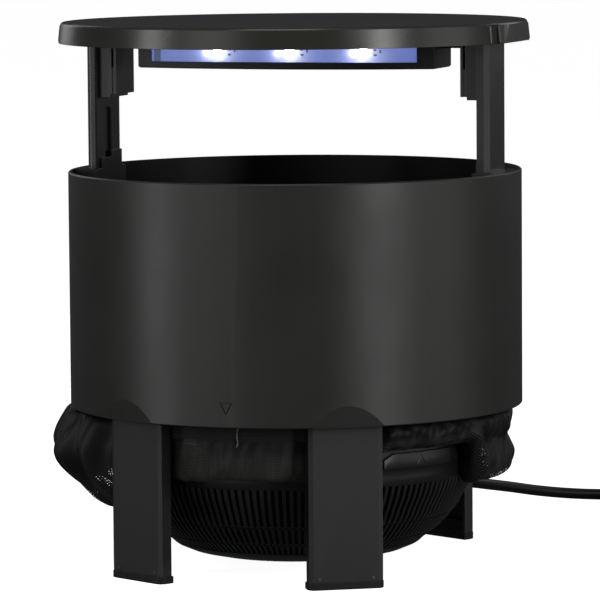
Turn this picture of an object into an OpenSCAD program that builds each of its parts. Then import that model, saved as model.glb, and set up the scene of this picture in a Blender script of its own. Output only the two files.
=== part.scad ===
// Fan-suction insect trap with an ultraviolet lamp under its roof.
// Millimetres. The origin is on the floor under the drum's axis, +Z is up and the front faces -Y.
// Bearings round the axis are measured from the front towards +X.

/* [Drum] */
// Outer radius of the drum
drum_r = 145; // [144:0.5:146]
// Wall thickness of the drum and of most mouldings
wall = 2.5; // [2.3:0.1:2.7]
// Height of the drum's lower edge above the floor
drum_base = 101; // [100:0.5:102]
// Height of the drum's rim above the floor
drum_rim = 251; // [250:0.5:252]

/* [Roof] */
// Outer radius of the roof at its lower edge
roof_r = 150.2; // [149.5:0.1:151]
// Height of the roof's top above the floor
roof_top = 345.9; // [345.5:0.1:347]
// Height of the roof's skirt
skirt_h = 13.1; // [12.5:0.1:13.5]

/* [Lamp] */
// Half length of the lamp housing
lamp_half = 98.4; // [96:0.2:99]
// Distance between neighbouring light-emitting diodes
led_pitch = 48.5; // [44:0.5:52]

/* [Fan] */
// Inner radius of the fan duct
duct_r = 92.5; // [92:0.1:93]
// Radius of the impeller over its blade tips
fan_r = 90; // [86:0.5:91]
// Number of blades
blades = 7; // [5:1:9]

/* [Tray] */
// Outer radius of the tray at its neck
tray_r = 115.3; // [115:0.1:115.5]
// Number of vent slots in each row
tray_slots = 60; // [30:1:72]

/* [Legs] */
// Width of a leg
leg_w = 46.9; // [44:0.1:47]
// Distance from the drum's axis to a leg's outer face
leg_face = 136.8; // [136:0.1:137]
// Depth of a leg's channel section
leg_depth = 8.4; // [8:0.1:9]

/* [Cord] */
// Diameter of the mains cord
cord_d = 7.5; // [7:0.1:8]

/* [Hidden] */

$fn = 96;
eps = 1;
bore_r = drum_r - wall;
leg_bearings = [30, 150, 210, 330];

// Floor of the drum, with the duct that stands on it.
deck_t = 3;
deck_top = drum_base + deck_t;
duct_out = duct_r + wall;
duct_top = 140;

// Guard, funnel and fan.
guard_t = 2;
funnel_base = duct_top + guard_t;
funnel_top = 166;
flange_t = 3;
spider_t = 4;
motor_r = 20;
motor_base = drum_base + spider_t;
motor_top = 125;
shaft_r = 2.5;
shaft_gap = 0.05;
hub_r = 28;
hub_base = 110;
hub_top = 134;

// Sliding roof: posts run in guides, and their inner slots ride on a tongue.
post_in = 126.3;
post_out = 134;
post_half = 22.5;
post_foot = 210;
post_slot_half = 5;
post_slot_top = 289;
post_slot_depth = 3;
guide_gap = 0.4;
guide_half = 27;
guide_base = 172;
clip_in = 124.3;
clip_back = 20;
clip_half = 17;
clip_low = 257.5;
clip_high = 261.5;
skirt_base = roof_top - skirt_h;
under_t = 2;
under_base = skirt_base + 1;
bracket_in = 114.4;
bracket_step = 118.6;
bracket_base = 298.5;
bracket_toe = 296.5;

// Lamp under the roof.
lamp_base = 316;
lamp_rail = 4.3;
lamp_end = 20;
lamp_bulge = 17;
window_half = 88;
window_t = 1.6;
board_y = 9;
board_t = 1.6;
board_low = 319.5;
board_high = 332;
led_z = 326.4;
spine_half = board_y - board_t;

// Tray, its bayonet ring and the net.
ring_in = 116.2;
ring_out = 120;
ring_base = 84;
lug_low = 88;
lug_high = 91;
lug_r = 118;
groove_gap = 0.4;
notch_gap = 0.8;
tray_twist = 58;
tray_wall = 2.3;
collar_in = 121;
collar_out = 124.6;
collar_base = 91;
net_in = 121;
net_out = 127.6;
net_top = 99.5;

// Screws.
screw_r = 1.6;
head_r = 3;
head_h = 2;

// Route of the cord, from the gland to the coil, and from the coil to the plug.
cord_r = cord_d / 2;
gland_x = 23;
gland_y = 133;
gland_mouth = 76;
coil_x = 195;
coil_y = 279;
coil_mean = 41.5;
coil_lanes = 3;
coil_base = 0.8;
coil_out = coil_mean + coil_lanes * cord_r;
coil_in = coil_mean - coil_lanes * cord_r;
coil_top = coil_base + 2 * cord_d;
route_lead = [
    [23, 133, 76], [23, 133, 68], [24, 136, 59], [27, 142, 51], [31, 152, 43.5],
    [36, 165, 37.5], [42, 180, 32], [49, 196, 27.5], [56, 213, 23], [65, 232, 19],
    [76, 251, 15], [89, 269, 10.7], [104, 285, 7.3], [121, 299, 5], [139, 310, 4],
    [158, 318, 4.2], [178, 325, 4.6]];
route_tail = [
    [241, 296, 12], [245, 285, 12], [249, 274, 11], [253, 263, 9.6], [257, 252, 8.5], [261, 241, 8]];
plug_heading = -70;

// Turns its children to a bearing round the drum's axis. A child at -Y comes to that bearing.
module at_bearing(az) {
    rotate([0, 0, az]) children();
}

// The four legs' places, with a child modelled at the front.
module each_leg() {
    for (az = leg_bearings) at_bearing(az) children();
}

// Copies its child to a circle of count places.
module ring_of(count, r, start = 0) {
    for (i = [0 : count - 1]) rotate([0, 0, start + i * 360 / count]) translate([r, 0, 0]) children();
}

// Tube standing on z = base.
module tube(r_out, r_in, base, top) {
    translate([0, 0, base]) difference() {
        cylinder(r = r_out, h = top - base);
        translate([0, 0, -eps]) cylinder(r = r_in, h = top - base + 2 * eps);
    }
}

// Box from one corner to the other.
module span(low, high) {
    translate(low) cube(high - low);
}

// Screw pointing down, its head resting on z = 0.
module screw(length) {
    difference() {
        cylinder(r = head_r, h = head_h, $fn = 32);
        translate([0, 0, head_h - 1]) cylinder(r = 1.4, h = 2, $fn = 6);
    }
    translate([0, 0, -length]) cylinder(r = screw_r, h = length + 0.5, $fn = 32);
}

// Drill for a screw's shank through a plate between two heights.
module screw_hole(low, high) {
    translate([0, 0, low - eps]) cylinder(r = screw_r, h = high - low + 2 * eps, $fn = 32);
}

// Triangular outline in the XZ plane, with its point up or down.
module mark_outline(half, height, line, depth) {
    rotate([90, 0, 0]) linear_extrude(depth) difference() {
        polygon([[-half, 0], [half, 0], [0, height]]);
        polygon([[-half + 1.9 * line, line], [half - 1.9 * line, line], [0, height - 2.2 * line]]);
    }
}

// ---- Drum ----

facet_top = 114.5;
facet_half = 23.5;
facet_face = sqrt(drum_r * drum_r - facet_half * facet_half);
facet_lean = atan((drum_r - facet_face) / (facet_top - drum_base));
mark_half = 4.5;
mark_low = 108.5;
mark_high = 116.8;

// Flat that slopes into the drum's wall above a leg.
module leg_facet() {
    translate([0, -facet_face, drum_base]) rotate([facet_lean, 0, 0])
        translate([-40, -20, -20]) cube([80, 20, 60]);
}

module drum_shell() {
    color([0.13, 0.13, 0.125]) difference() {
        rotate_extrude($fn = 180) polygon([
            [bore_r, drum_base], [drum_r - 0.6, drum_base], [drum_r, drum_base + 0.6],
            [drum_r, drum_rim - 0.8], [drum_r - 0.8, drum_rim], [bore_r, drum_rim]]);
        each_leg() leg_facet();
        translate([0, -drum_r + 0.7, mark_high]) mirror([0, 0, 1])
            mark_outline(mark_half, mark_high - mark_low, 0.9, 3);
    }
}

cord_hole_r = 6;
driver_y = 111;
driver_z = deck_top;

module lower_deck() {
    color([0.1, 0.1, 0.1]) difference() {
        union() {
            tube(bore_r, duct_r, drum_base, deck_top);
            tube(duct_out, duct_r, drum_base, duct_top);
        }
        each_leg() translate([0, -leg_face + leg_depth / 2, 0])
            span([-leg_w / 2, -leg_depth / 2, drum_base - eps], [leg_w / 2, leg_depth / 2, deck_top + eps]);
        each_leg() for (x = [-leg_tab_screw, leg_tab_screw])
            translate([x, -leg_tab_mid, 0]) screw_hole(drum_base, deck_top);
        translate([gland_x, gland_y, drum_base - eps]) cylinder(r = cord_hole_r, h = deck_t + 2 * eps);
        for (x = [-driver_screw, driver_screw])
            translate([x, driver_y, 0]) screw_hole(drum_base, deck_top);
    }
}

module funnel_screw_places() {
    ring_of(6, bore_r - 7, 0) children();
}

module inlet_funnel() {
    color([0.11, 0.11, 0.11]) difference() {
        rotate_extrude($fn = 120) polygon([
            [duct_r, funnel_base], [duct_out, funnel_base], [bore_r - 10, funnel_top - flange_t],
            [bore_r, funnel_top - flange_t], [bore_r, funnel_top], [bore_r - 11.5, funnel_top]]);
        funnel_screw_places() screw_hole(funnel_top - 6, funnel_top);
    }
}

module fan_guard() {
    color([0.09, 0.09, 0.09]) {
        tube(duct_out, duct_r - 3, duct_top, funnel_base);
        for (r = [30 : 15 : 75]) tube(r + 1, r - 1, duct_top, funnel_base);
        for (i = [0 : 5]) rotate([0, 0, i * 60])
            span([29.5, -1.1, duct_top], [duct_r - 2, 1.1, funnel_base]);
    }
}

// ---- Fan ----

spider_ring_r = duct_r - 4;
spider_hole_r = 12;

module motor_spider() {
    color([0.1, 0.1, 0.1]) difference() {
        union() {
            tube(duct_r, spider_ring_r, drum_base, motor_base);
            translate([0, 0, drum_base]) cylinder(r = motor_r + 4, h = spider_t);
            for (i = [0 : 3]) rotate([0, 0, 45 + i * 90])
                span([motor_r + 2, -3, drum_base], [spider_ring_r + 1, 3, motor_base]);
        }
        ring_of(4, spider_hole_r, 45) screw_hole(drum_base, motor_base);
    }
}

module motor() {
    color([0.62, 0.63, 0.65]) difference() {
        union() {
            translate([0, 0, motor_base]) cylinder(r = motor_r, h = motor_top - motor_base - 2);
            translate([0, 0, motor_top - 3]) cylinder(r = 7, h = 3);
        }
        translate([0, 0, motor_base + 6]) cylinder(r = shaft_r + shaft_gap, h = 30);
        ring_of(4, spider_hole_r, 45) screw_hole(motor_base - 1, motor_base + 4);
    }
}

module fan_shaft() {
    color([0.75, 0.75, 0.77]) translate([0, 0, motor_base + 7])
        cylinder(r = shaft_r, h = hub_top - motor_base - 8);
}

blade_tilt = 36;
blade_len = 34;
blade_t = 2;

module impeller() {
    color([0.16, 0.16, 0.17]) {
        difference() {
            union() {
                tube(hub_r, hub_r - 2.4, hub_base, hub_top - 1);
                translate([0, 0, hub_top - 3]) cylinder(r = hub_r - 1, h = 3);
                translate([0, 0, hub_top - 7]) cylinder(r = 6, h = 6);
            }
            translate([0, 0, hub_base]) cylinder(r = shaft_r, h = hub_top - hub_base - 1);
        }
        intersection() {
            tube(fan_r, hub_r - 1, hub_base, hub_top);
            for (i = [0 : blades - 1]) rotate([0, 0, i * 360 / blades])
                translate([0, 0, (hub_base + hub_top) / 2]) rotate([blade_tilt, 0, 0])
                    span([hub_r - 3, -blade_len / 2, -blade_t / 2], [fan_r + 5, blade_len / 2, blade_t / 2]);
        }
    }
}

// ---- Driver ----

driver_half = 26;
driver_depth = 14;
driver_h = 24;
driver_screw = 31;

module driver_board() {
    color([0.1, 0.32, 0.16]) {
        span([-22, driver_y - 11, driver_z + 4], [22, driver_y + 11, driver_z + 5.6]);
        translate([-12, driver_y, driver_z + 5.6]) cylinder(r = 5, h = 11);
        span([2, driver_y - 7, driver_z + 5.6], [16, driver_y + 7, driver_z + 15]);
        for (x = [-18, 18]) translate([x, driver_y, driver_z]) cylinder(r = 2.5, h = 4);
    }
}

module driver_cover() {
    color([0.12, 0.12, 0.12]) {
        difference() {
            span([-driver_half, driver_y - driver_depth, driver_z],
                 [driver_half, driver_y + driver_depth, driver_z + driver_h]);
            span([-driver_half + 2, driver_y - driver_depth + 2, driver_z - eps],
                 [driver_half - 2, driver_y + driver_depth - 2, driver_z + driver_h - 2]);
        }
        for (side = [-1, 1]) difference() {
            translate([side * (driver_screw - 0.5) - 5.5, driver_y - 5, driver_z]) cube([11, 10, 2.5]);
            translate([side * driver_screw, driver_y, 0]) screw_hole(driver_z, driver_z + 3);
            span([-driver_half + 1, driver_y - 8, driver_z - eps],
                 [driver_half - 1, driver_y + 8, driver_z + 4]);
        }
    }
}

// ---- Net, ring and tray ----

module net_collar() {
    color([0.1, 0.1, 0.1]) tube(collar_out, collar_in, collar_base, drum_base);
}

lug_half = 7;

// Ring with an inner groove. Four notches let the tray's lugs in from below.
module bayonet_ring() {
    color([0.12, 0.12, 0.12]) difference() {
        rotate_extrude($fn = 120) polygon([
            [ring_in, ring_base], [ring_out, ring_base], [ring_out, drum_base], [ring_in, drum_base],
            [ring_in, lug_high + groove_gap], [lug_r + groove_gap, lug_high + groove_gap],
            [lug_r + groove_gap, lug_low - groove_gap], [ring_in, lug_low - groove_gap]]);
        for (i = [0 : 3]) at_bearing(i * 90 - tray_twist + 14)
            rotate([0, 0, -90]) rotate_extrude(angle = 2 * lug_half + 2)
                translate([ring_in - 1, ring_base - eps])
                    square([lug_r + notch_gap - ring_in + 1, lug_low - ring_base + 2]);
    }
}

net_hem = 96;
net_low = 66;

// Loose fold of net between two bearings. It starts inside the net's ring and bulges out to its reach.
module net_fold(from_az, to_az, root, reach, low) {
    rotate([0, 0, from_az - 90]) rotate_extrude(angle = to_az - from_az) polygon([
        [root, net_hem - 4], [root, low + 6], [root + 4, low], [reach - 6, low + 12],
        [reach, low + 26], [reach - 1, net_hem - 12], [reach - 8, net_hem - 3],
        [net_out + 1, net_hem + 1.2]]);
}

// Ring of gathered net with looser folds outside it. It is cut away over the tray's tab.
module net() {
    color([0.06, 0.06, 0.06]) {
        difference() {
            rotate_extrude() polygon([
                [net_in, 90], [net_in, net_low], [net_in + 3, net_low - 4], [net_out, net_low],
                [net_out, net_hem], [collar_out + 1, net_top], [collar_out, net_top], [collar_out, 90]]);
            rotate([0, 0, tab_from - 3.3 - 90]) rotate_extrude(angle = tab_to - tab_from + 4.1)
                translate([net_in - 1, net_low - 5])
                    square([net_out - net_in + 2, tab_high + 1 - net_low + 5]);
        }
        net_fold(-132, -48, net_out - 1.4, 143, 52);
        net_fold(-120, -60, net_out - 0.8, 150, 48);
        net_fold(75, 132, net_out - 1.4, 136, 56);
        net_fold(80, 122, net_out - 0.8, 141, 54);
    }
}

drawstring_r = 0.45;

module drawstring() {
    color([0.75, 0.74, 0.7]) rotate_extrude($fn = 96)
        translate([ring_out + drawstring_r, ring_base + 3]) circle(r = drawstring_r, $fn = 16);
}

tray_outline = [
    [tray_r, 84], [tray_r, 71], [tray_r - 0.9, 69], [tray_r - 1.2, 58.5], [111.5, 51], [107, 43],
    [102.5, 35], [97, 28], [89, 20.5], [80, 14], [70, 9], [58, 6]];
tray_floor = 5.5;
row_1 = [33.5, 58];
row_2 = [22, 32];
tab_from = 44.5;
tab_to = 72.4;
tab_r = 118;
tab_low = 70;
tab_high = 79.5;

function inset(points, d) = [for (p = points) [p[0] - d, p[1] < 60 ? p[1] + d * (60 - p[1]) / 60 : p[1]]];

module slot_row(count, low, high, r_low, r_high, w) {
    for (i = [0 : count - 1]) rotate([0, 0, i * 360 / count])
        span([r_low, -w / 2, low], [r_high, w / 2, high]);
}

module catch_tray() {
    color([0.09, 0.09, 0.09]) {
        difference() {
            rotate_extrude($fn = 120) polygon(concat(
                [[0, tray_floor]], [for (i = [len(tray_outline) - 1 : -1 : 0]) tray_outline[i]],
                [[tray_r, lug_high], [tray_r - tray_wall, lug_high]],
                inset(tray_outline, tray_wall), [[0, tray_floor + tray_wall]]));
            slot_row(tray_slots, row_1[0], row_1[1], 96, 120, 1.9);
            slot_row(tray_slots, row_2[0], row_2[1], 80, 110, 1.9);
        }
        for (i = [0 : 3]) at_bearing(i * 90 + 14 + 1) rotate([0, 0, -90])
            rotate_extrude(angle = 2 * lug_half) translate([tray_r - 1, lug_low])
                square([lug_r - tray_r + 1, lug_high - lug_low]);
        rotate([0, 0, tab_from - 90]) rotate_extrude(angle = tab_to - tab_from)
            polygon([[tray_r - 1.5, tab_low], [tab_r - 0.5, tab_low], [tab_r, tab_low + 0.5],
                     [tab_r, tab_high - 0.5], [tab_r - 0.5, tab_high], [tray_r - 1.5, tab_high]]);
        at_bearing((tab_from + tab_to) / 2) translate([0, -tab_r + 1.2, tab_low + 1.8])
            mark_outline(3.4, 6, 0.8, 1.6);
    }
}

// ---- Legs ----

leg_tab_in = 112;
leg_tab_t = 2.5;
leg_tab_screw = 15;
leg_tab_mid = (leg_tab_in + leg_face - leg_depth) / 2;
leg_web = 2.4;
foot_top = 4.6;
foot_proud = 1.5;
peg_x = 17;
peg_z = 6.8;

// Leg at the front: a channel that opens inwards, with a tab on top that lies on the deck.
module leg() {
    back = leg_face - leg_depth;
    bevel = 2.7;
    color([0.17, 0.17, 0.165]) difference() {
        union() {
            translate([0, 0, foot_top]) linear_extrude(deck_top + leg_tab_t - foot_top) polygon([
                [-leg_w / 2, -back], [-leg_w / 2, -leg_face + 1], [-leg_w / 2 + bevel, -leg_face],
                [leg_w / 2 - bevel, -leg_face], [leg_w / 2, -leg_face + 1], [leg_w / 2, -back],
                [leg_w / 2 - leg_web, -back], [leg_w / 2 - leg_web, -leg_face + leg_web + 1],
                [-leg_w / 2 + leg_web, -leg_face + leg_web + 1], [-leg_w / 2 + leg_web, -back]]);
            span([-leg_w / 2, -leg_face + leg_web, deck_top], [leg_w / 2, -leg_tab_in, deck_top + leg_tab_t]);
        }
        for (x = [-leg_tab_screw, leg_tab_screw])
            translate([x, -leg_tab_mid, 0]) screw_hole(deck_top, deck_top + leg_tab_t);
        for (x = [-peg_x, peg_x]) translate([x, -leg_face + 2, peg_z]) rotate([90, 0, 0])
            cylinder(r = 1.1, h = 4, $fn = 24);
    }
}

// Foot at the front: a pad with rounded corners that closes the leg's lower end.
module foot() {
    half = leg_w / 2 + 0.8;
    r = 5;
    front = leg_face + foot_proud;
    back = leg_face - leg_depth - 1;
    color([0.1, 0.1, 0.1]) {
        linear_extrude(foot_top) union() {
            for (side = [-1, 1]) translate([side * (half - r), -front + r]) circle(r = r, $fn = 48);
            polygon([[-half, -back], [-half, -front + r], [-half + r, -front + r], [-half + r, -front],
                     [half - r, -front], [half - r, -front + r], [half, -front + r], [half, -back]]);
        }
        span([-leg_w / 2 + leg_web + 0.2, -leg_face + leg_web + 1.2, foot_top - 0.5],
             [leg_w / 2 - leg_web - 0.2, -leg_face + leg_depth, foot_top + 8]);
    }
}

// ---- Roof and its posts, drawn on the right and mirrored ----

module on_side(side) {
    if (side < 0) mirror([1, 0, 0]) children();
    else children();
}

tongue_low = 246;
tongue_high = 254.5;

// Guide at the rim for a post. Its inner wall stands above the rim, higher at the back than at the front.
module post_guide(side) {
    color([0.1, 0.1, 0.1]) on_side(side) {
        difference() {
            union() {
                intersection() {
                    span([clip_in, -guide_half, guide_base], [bore_r, guide_half, drum_rim]);
                    translate([0, 0, guide_base]) cylinder(r = bore_r, h = 100, $fn = 180);
                }
                span([clip_in, -clip_half, guide_base], [post_in - guide_gap, 1, clip_low]);
                span([clip_in, 0, guide_base], [post_in - guide_gap, clip_back, clip_high]);
            }
            span([post_in - guide_gap, -post_half - guide_gap, guide_base + 3],
                 [post_out + guide_gap, post_half + guide_gap, clip_high + eps]);
        }
        span([post_in - guide_gap - 1, -post_slot_half + guide_gap, tongue_low],
             [post_in + post_slot_depth - guide_gap, post_slot_half - guide_gap, tongue_high]);
    }
}

module post(side) {
    chamfer_x = 3;
    chamfer_y = 4.7;
    color([0.14, 0.14, 0.14]) on_side(side) difference() {
        translate([0, 0, post_foot]) linear_extrude(under_base - post_foot) polygon([
            [post_in, -post_half], [post_out - chamfer_x, -post_half],
            [post_out, -post_half + chamfer_y], [post_out, post_half - chamfer_y],
            [post_out - chamfer_x, post_half], [post_in, post_half]]);
        span([post_in - eps, -post_slot_half, post_foot - eps],
             [post_in + post_slot_depth, post_slot_half, post_slot_top]);
        for (y = [-15, 15]) translate([(post_in + post_out) / 2, y, 0])
            screw_hole(under_base - 10, under_base);
    }
}

// Bracket under the roof: a plain block with a narrow groove down its front and back.
module bracket(side) {
    groove_x = 116.6;
    groove_w = 0.8;
    slot_base = 316;
    color([0.12, 0.12, 0.12]) on_side(side) difference() {
        union() {
            span([bracket_in, -clip_half, bracket_base], [post_in, clip_half, under_base]);
            span([bracket_step, -clip_half, bracket_toe], [post_in, clip_half, bracket_base + 1]);
        }
        for (end = [-1, 1]) {
            translate([groove_x, end * clip_half, 0])
                span([0, -0.6, bracket_base - eps], [groove_w, 0.6, under_base + eps]);
            translate([groove_x, end * clip_half, 0])
                span([-0.3, -3, slot_base], [groove_w + 0.3, 3, under_base + eps]);
        }
    }
}

roof_draft = 1.4;
top_t = 2.5;
ear_face = 147.4;
ear_half = 31;
rim_groove = 1.2;
ear_groove_half = 5.2;
ear_groove_az = 15.8;

module roof_cover() {
    edge = roof_r - roof_draft;
    inner = edge - wall;
    color([0.15, 0.15, 0.145]) difference() {
        rotate_extrude($fn = 180) polygon([
            [0, roof_top - top_t], [inner - 1, roof_top - top_t], [inner, roof_top - top_t - 1],
            [inner + roof_draft - 0.4, skirt_base], [roof_r, skirt_base], [edge, roof_top - 1.4],
            [edge - 0.4, roof_top - 0.5], [edge - 1.2, roof_top], [edge - 1.8, roof_top],
            [edge - 1.8 - rim_groove / 2, roof_top - 0.9], [edge - 1.8 - rim_groove, roof_top],
            [0, roof_top]]);
        for (side = [-1, 1]) {
            on_side(side)
                span([ear_face, -ear_half, skirt_base - eps], [roof_r + 5, ear_half, roof_top - 1.6]);
            for (end = [-1, 1]) on_side(side) rotate([0, 0, end * ear_groove_az])
                span([roof_r - 2.2, -ear_groove_half, skirt_base - eps],
                     [roof_r + 5, ear_groove_half, roof_top - 1.6]);
        }
    }
}

module roof_screw_places() {
    for (side = [-1, 1], y = [-15, 15]) translate([side * (post_in + post_out) / 2, y, 0]) children();
}

module lamp_screw_places() {
    for (side = [-1, 1], y = [-14, 14]) translate([side * (lamp_half - 5), y, 0]) children();
}

module roof_underplate() {
    color([0.12, 0.12, 0.12]) difference() {
        translate([0, 0, under_base]) cylinder(r = ear_face - wall - 0.4, h = under_t, $fn = 180);
        roof_screw_places() screw_hole(under_base, under_base + under_t);
        lamp_screw_places() screw_hole(under_base, under_base + under_t);
    }
}

// ---- Lamp ----

bulge_r = (lamp_half * lamp_half + lamp_bulge * lamp_bulge) / (2 * lamp_bulge);

// Plan of the lamp housing, drawn in by a margin: straight ends and bowed long sides.
module lamp_plan(margin) {
    bow_centre = bulge_r - lamp_end - lamp_bulge;
    intersection() {
        square([2 * (lamp_half - margin), 4 * lamp_end], center = true);
        translate([0, bow_centre]) circle(r = bulge_r - margin, $fn = 360);
        translate([0, -bow_centre]) circle(r = bulge_r - margin, $fn = 360);
    }
}

module lamp_housing() {
    color([0.12, 0.12, 0.125]) difference() {
        union() {
            translate([0, 0, lamp_base]) linear_extrude(1) lamp_plan(0.7);
            translate([0, 0, lamp_base + 0.7]) linear_extrude(under_base - lamp_base - 0.7) lamp_plan(0);
        }
        translate([0, 0, lamp_base + 2]) linear_extrude(under_base - lamp_base) intersection() {
            lamp_plan(2.4);
            square([2 * window_half, 100], center = true);
        }
        span([-window_half, -50, lamp_base + lamp_rail], [window_half, 50, under_base + eps]);
        lamp_screw_places() screw_hole(under_base - 8, under_base);
        for (y = [-4, 4])
            span([lamp_half - 3, y - 1.2, under_base - 4], [lamp_half + eps, y + 1.2, under_base + eps]);
    }
}

module lamp_spine() {
    color([0.2, 0.2, 0.2])
        span([-window_half, -spine_half, lamp_base + 2], [window_half, spine_half, under_base - 0.4]);
}

// Bowed clear window between the housing's ends, standing on its rail.
module lamp_window(side) {
    color([0.75, 0.82, 1, 0.35]) translate([0, 0, lamp_base + lamp_rail])
        linear_extrude(under_base - lamp_base - lamp_rail) intersection() {
            difference() {
                lamp_plan(0.4);
                lamp_plan(0.4 + window_t);
            }
            translate([-window_half, side < 0 ? -lamp_end - 30 : lamp_end - 5]) square([2 * window_half, 35]);
        }
}

module led_board(side) {
    color([0.72, 0.76, 0.9]) span(
        [-window_half + 1, side < 0 ? -board_y : board_y - board_t, board_low],
        [window_half - 1, side < 0 ? -board_y + board_t : board_y, board_high]);
}

module leds(side) {
    color([0.92, 0.93, 1]) for (i = [-1 : 1]) translate([i * led_pitch, side * board_y, led_z]) {
        span([-2.5, side < 0 ? -1.6 : 0, -2.5], [2.5, side < 0 ? 0 : 1.6, 2.5]);
        intersection() {
            translate([0, side * 1.4, 0]) sphere(r = 2.2, $fn = 32);
            span([-3, side < 0 ? -4 : 1.5, -3], [3, side < 0 ? -1.5 : 4, 3]);
        }
    }
}

module wire_duct() {
    color([0.12, 0.12, 0.12]) difference() {
        span([lamp_half, -7, under_base - 5], [bracket_in, 7, under_base]);
        span([lamp_half - eps, -5, under_base - 3.4], [bracket_in + eps, 5, under_base + eps]);
    }
}

// ---- Fasteners ----

steel = [0.6, 0.6, 0.6];

module leg_screws() {
    color(steel) each_leg() for (x = [-leg_tab_screw, leg_tab_screw])
        translate([x, -leg_tab_mid, deck_top + leg_tab_t]) screw(leg_tab_t + deck_t);
}

module foot_pegs() {
    color(steel) each_leg() for (x = [-peg_x, peg_x])
        translate([x, -leg_face + 2, peg_z]) rotate([90, 0, 0]) cylinder(r = 1.1, h = 2.4, $fn = 24);
}

module funnel_screws() {
    color(steel) funnel_screw_places() translate([0, 0, funnel_top]) screw(flange_t + 3);
}

module spider_screws() {
    color(steel) ring_of(4, spider_hole_r, 45)
        translate([0, 0, drum_base]) mirror([0, 0, 1]) screw(spider_t + 3);
}

module roof_screws() {
    color(steel) roof_screw_places() translate([0, 0, under_base + under_t]) screw(under_t + 8);
}

module lamp_screws() {
    color(steel) lamp_screw_places() translate([0, 0, under_base + under_t]) screw(under_t + 6);
}

module driver_screws() {
    color(steel) for (x = [-driver_screw, driver_screw])
        translate([x, driver_y, driver_z + 2.5]) screw(2.5 + deck_t);
}

// ---- Cord ----

gland_collar_r = 8.5;
relief_r = 6;

module cord_gland() {
    collar_low = drum_base - 2.5;
    color([0.08, 0.08, 0.08]) translate([gland_x, gland_y, 0]) {
        translate([0, 0, collar_low]) cylinder(r = gland_collar_r, h = 2.5, $fn = 64);
        translate([0, 0, drum_base]) cylinder(r = cord_hole_r, h = deck_t + 3, $fn = 64);
        translate([0, 0, gland_mouth])
            cylinder(r1 = cord_r + 1.1, r2 = relief_r + 0.8, h = collar_low - gland_mouth, $fn = 64);
    }
}

// Catmull-Rom point between the second and third of four route points.
function blend(a, b, c, d, t) = 0.5 * (2 * b + (c - a) * t + (2 * a - 5 * b + 4 * c - d) * t * t
    + (3 * b - 3 * c + d - a) * t * t * t);
function hold(points, i) = points[max(0, min(len(points) - 1, i))];
function smooth(points, steps) = concat([for (i = [0 : len(points) - 2], k = [0 : steps - 1])
    blend(hold(points, i - 1), hold(points, i), hold(points, i + 1), hold(points, i + 2), k / steps)],
    [points[len(points) - 1]]);
function unit(v) = v / norm(v);
function heading(path, i) = unit(hold(path, i + 1) - hold(path, i - 1));
// Sideways direction of a ring, steady along a path that never runs along the given axis.
function sideways(path, i, axis) = unit(cross(heading(path, i), axis));

// Tube of radius r along a path, as one closed polyhedron.
module swept(path, r, sides, axis) {
    rings = len(path);
    points = [for (i = [0 : rings - 1], k = [0 : sides - 1])
        let (u = sideways(path, i, axis), v = cross(u, heading(path, i)), a = k * 360 / sides)
        path[i] + r * (cos(a) * u + sin(a) * v)];
    faces = concat(
        [[for (k = [0 : sides - 1]) k]],
        [for (i = [0 : rings - 2], k = [0 : sides - 1])
            [i * sides + k, (i + 1) * sides + k,
             (i + 1) * sides + (k + 1) % sides, i * sides + (k + 1) % sides]],
        [[for (k = [sides - 1 : -1 : 0]) (rings - 1) * sides + k]]);
    polyhedron(points = points, faces = faces, convexity = 6);
}

cord_sides = 10;
lead_axis = unit([0.7, -0.7, 0]);
tail_axis = [0, 0, 1];

module power_cord() {
    color([0.07, 0.07, 0.07]) swept(smooth(route_lead, 3), cord_r, cord_sides, lead_axis);
}

module cord_tail() {
    color([0.07, 0.07, 0.07]) swept(smooth(route_tail, 1), cord_r, cord_sides, tail_axis);
}

tie_bearings = [60, 215];
tie_w = 9;
tie_t = 0.8;

// Places a child at the middle of the coil's bundle, X pointing outwards.
module coil_places() {
    for (az = tie_bearings) translate([coil_x, coil_y, 0]) rotate([0, 0, az]) translate([coil_mean, 0, 0])
        children();
}

module cord_coil() {
    color([0.07, 0.07, 0.07]) translate([coil_x, coil_y, 0]) rotate_extrude($fn = 96) polygon([
        [coil_in + 2, coil_base], [coil_out - 2, coil_base], [coil_out, coil_base + 2],
        [coil_out, coil_top - 2], [coil_out - 2, coil_top], [coil_in + 2, coil_top],
        [coil_in, coil_top - 2], [coil_in, coil_base + 2]]);
}

// Two straps, each a flat loop round the bundle.
module coil_ties() {
    half = coil_out - coil_mean + 0.9;
    color([0.12, 0.12, 0.12]) coil_places() difference() {
        span([-half - tie_t, -tie_w / 2, 0], [half + tie_t, tie_w / 2, coil_top + tie_t]);
        span([-half, -tie_w / 2 - eps, coil_base], [half, tie_w / 2 + eps, coil_top]);
    }
}

relief_len = 28;
plug_len = 28;
plug_half_w = 11;
plug_half_h = 8;
plug_corner = 3;
pin_pitch = 12.7;
pin_len = 17;

// Places a child at the plug's cord end, X pointing towards the pins.
module at_plug() {
    translate(route_tail[len(route_tail) - 1]) rotate([0, 0, plug_heading]) children();
}

module plug_body() {
    color([0.09, 0.09, 0.09]) at_plug() {
        rotate([0, 90, 0]) cylinder(r1 = cord_r + 0.9, r2 = cord_r + 2.6, h = relief_len + 1, $fn = 48);
        translate([relief_len, 0, 0]) rotate([90, 0, 90]) linear_extrude(plug_len) polygon([
            [-plug_half_w, -plug_half_h + plug_corner], [-plug_half_w + plug_corner, -plug_half_h],
            [plug_half_w - plug_corner, -plug_half_h], [plug_half_w, -plug_half_h + plug_corner],
            [plug_half_w, plug_half_h - plug_corner], [plug_half_w - plug_corner, plug_half_h],
            [-plug_half_w + plug_corner, plug_half_h], [-plug_half_w, plug_half_h - plug_corner]]);
    }
}

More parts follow.
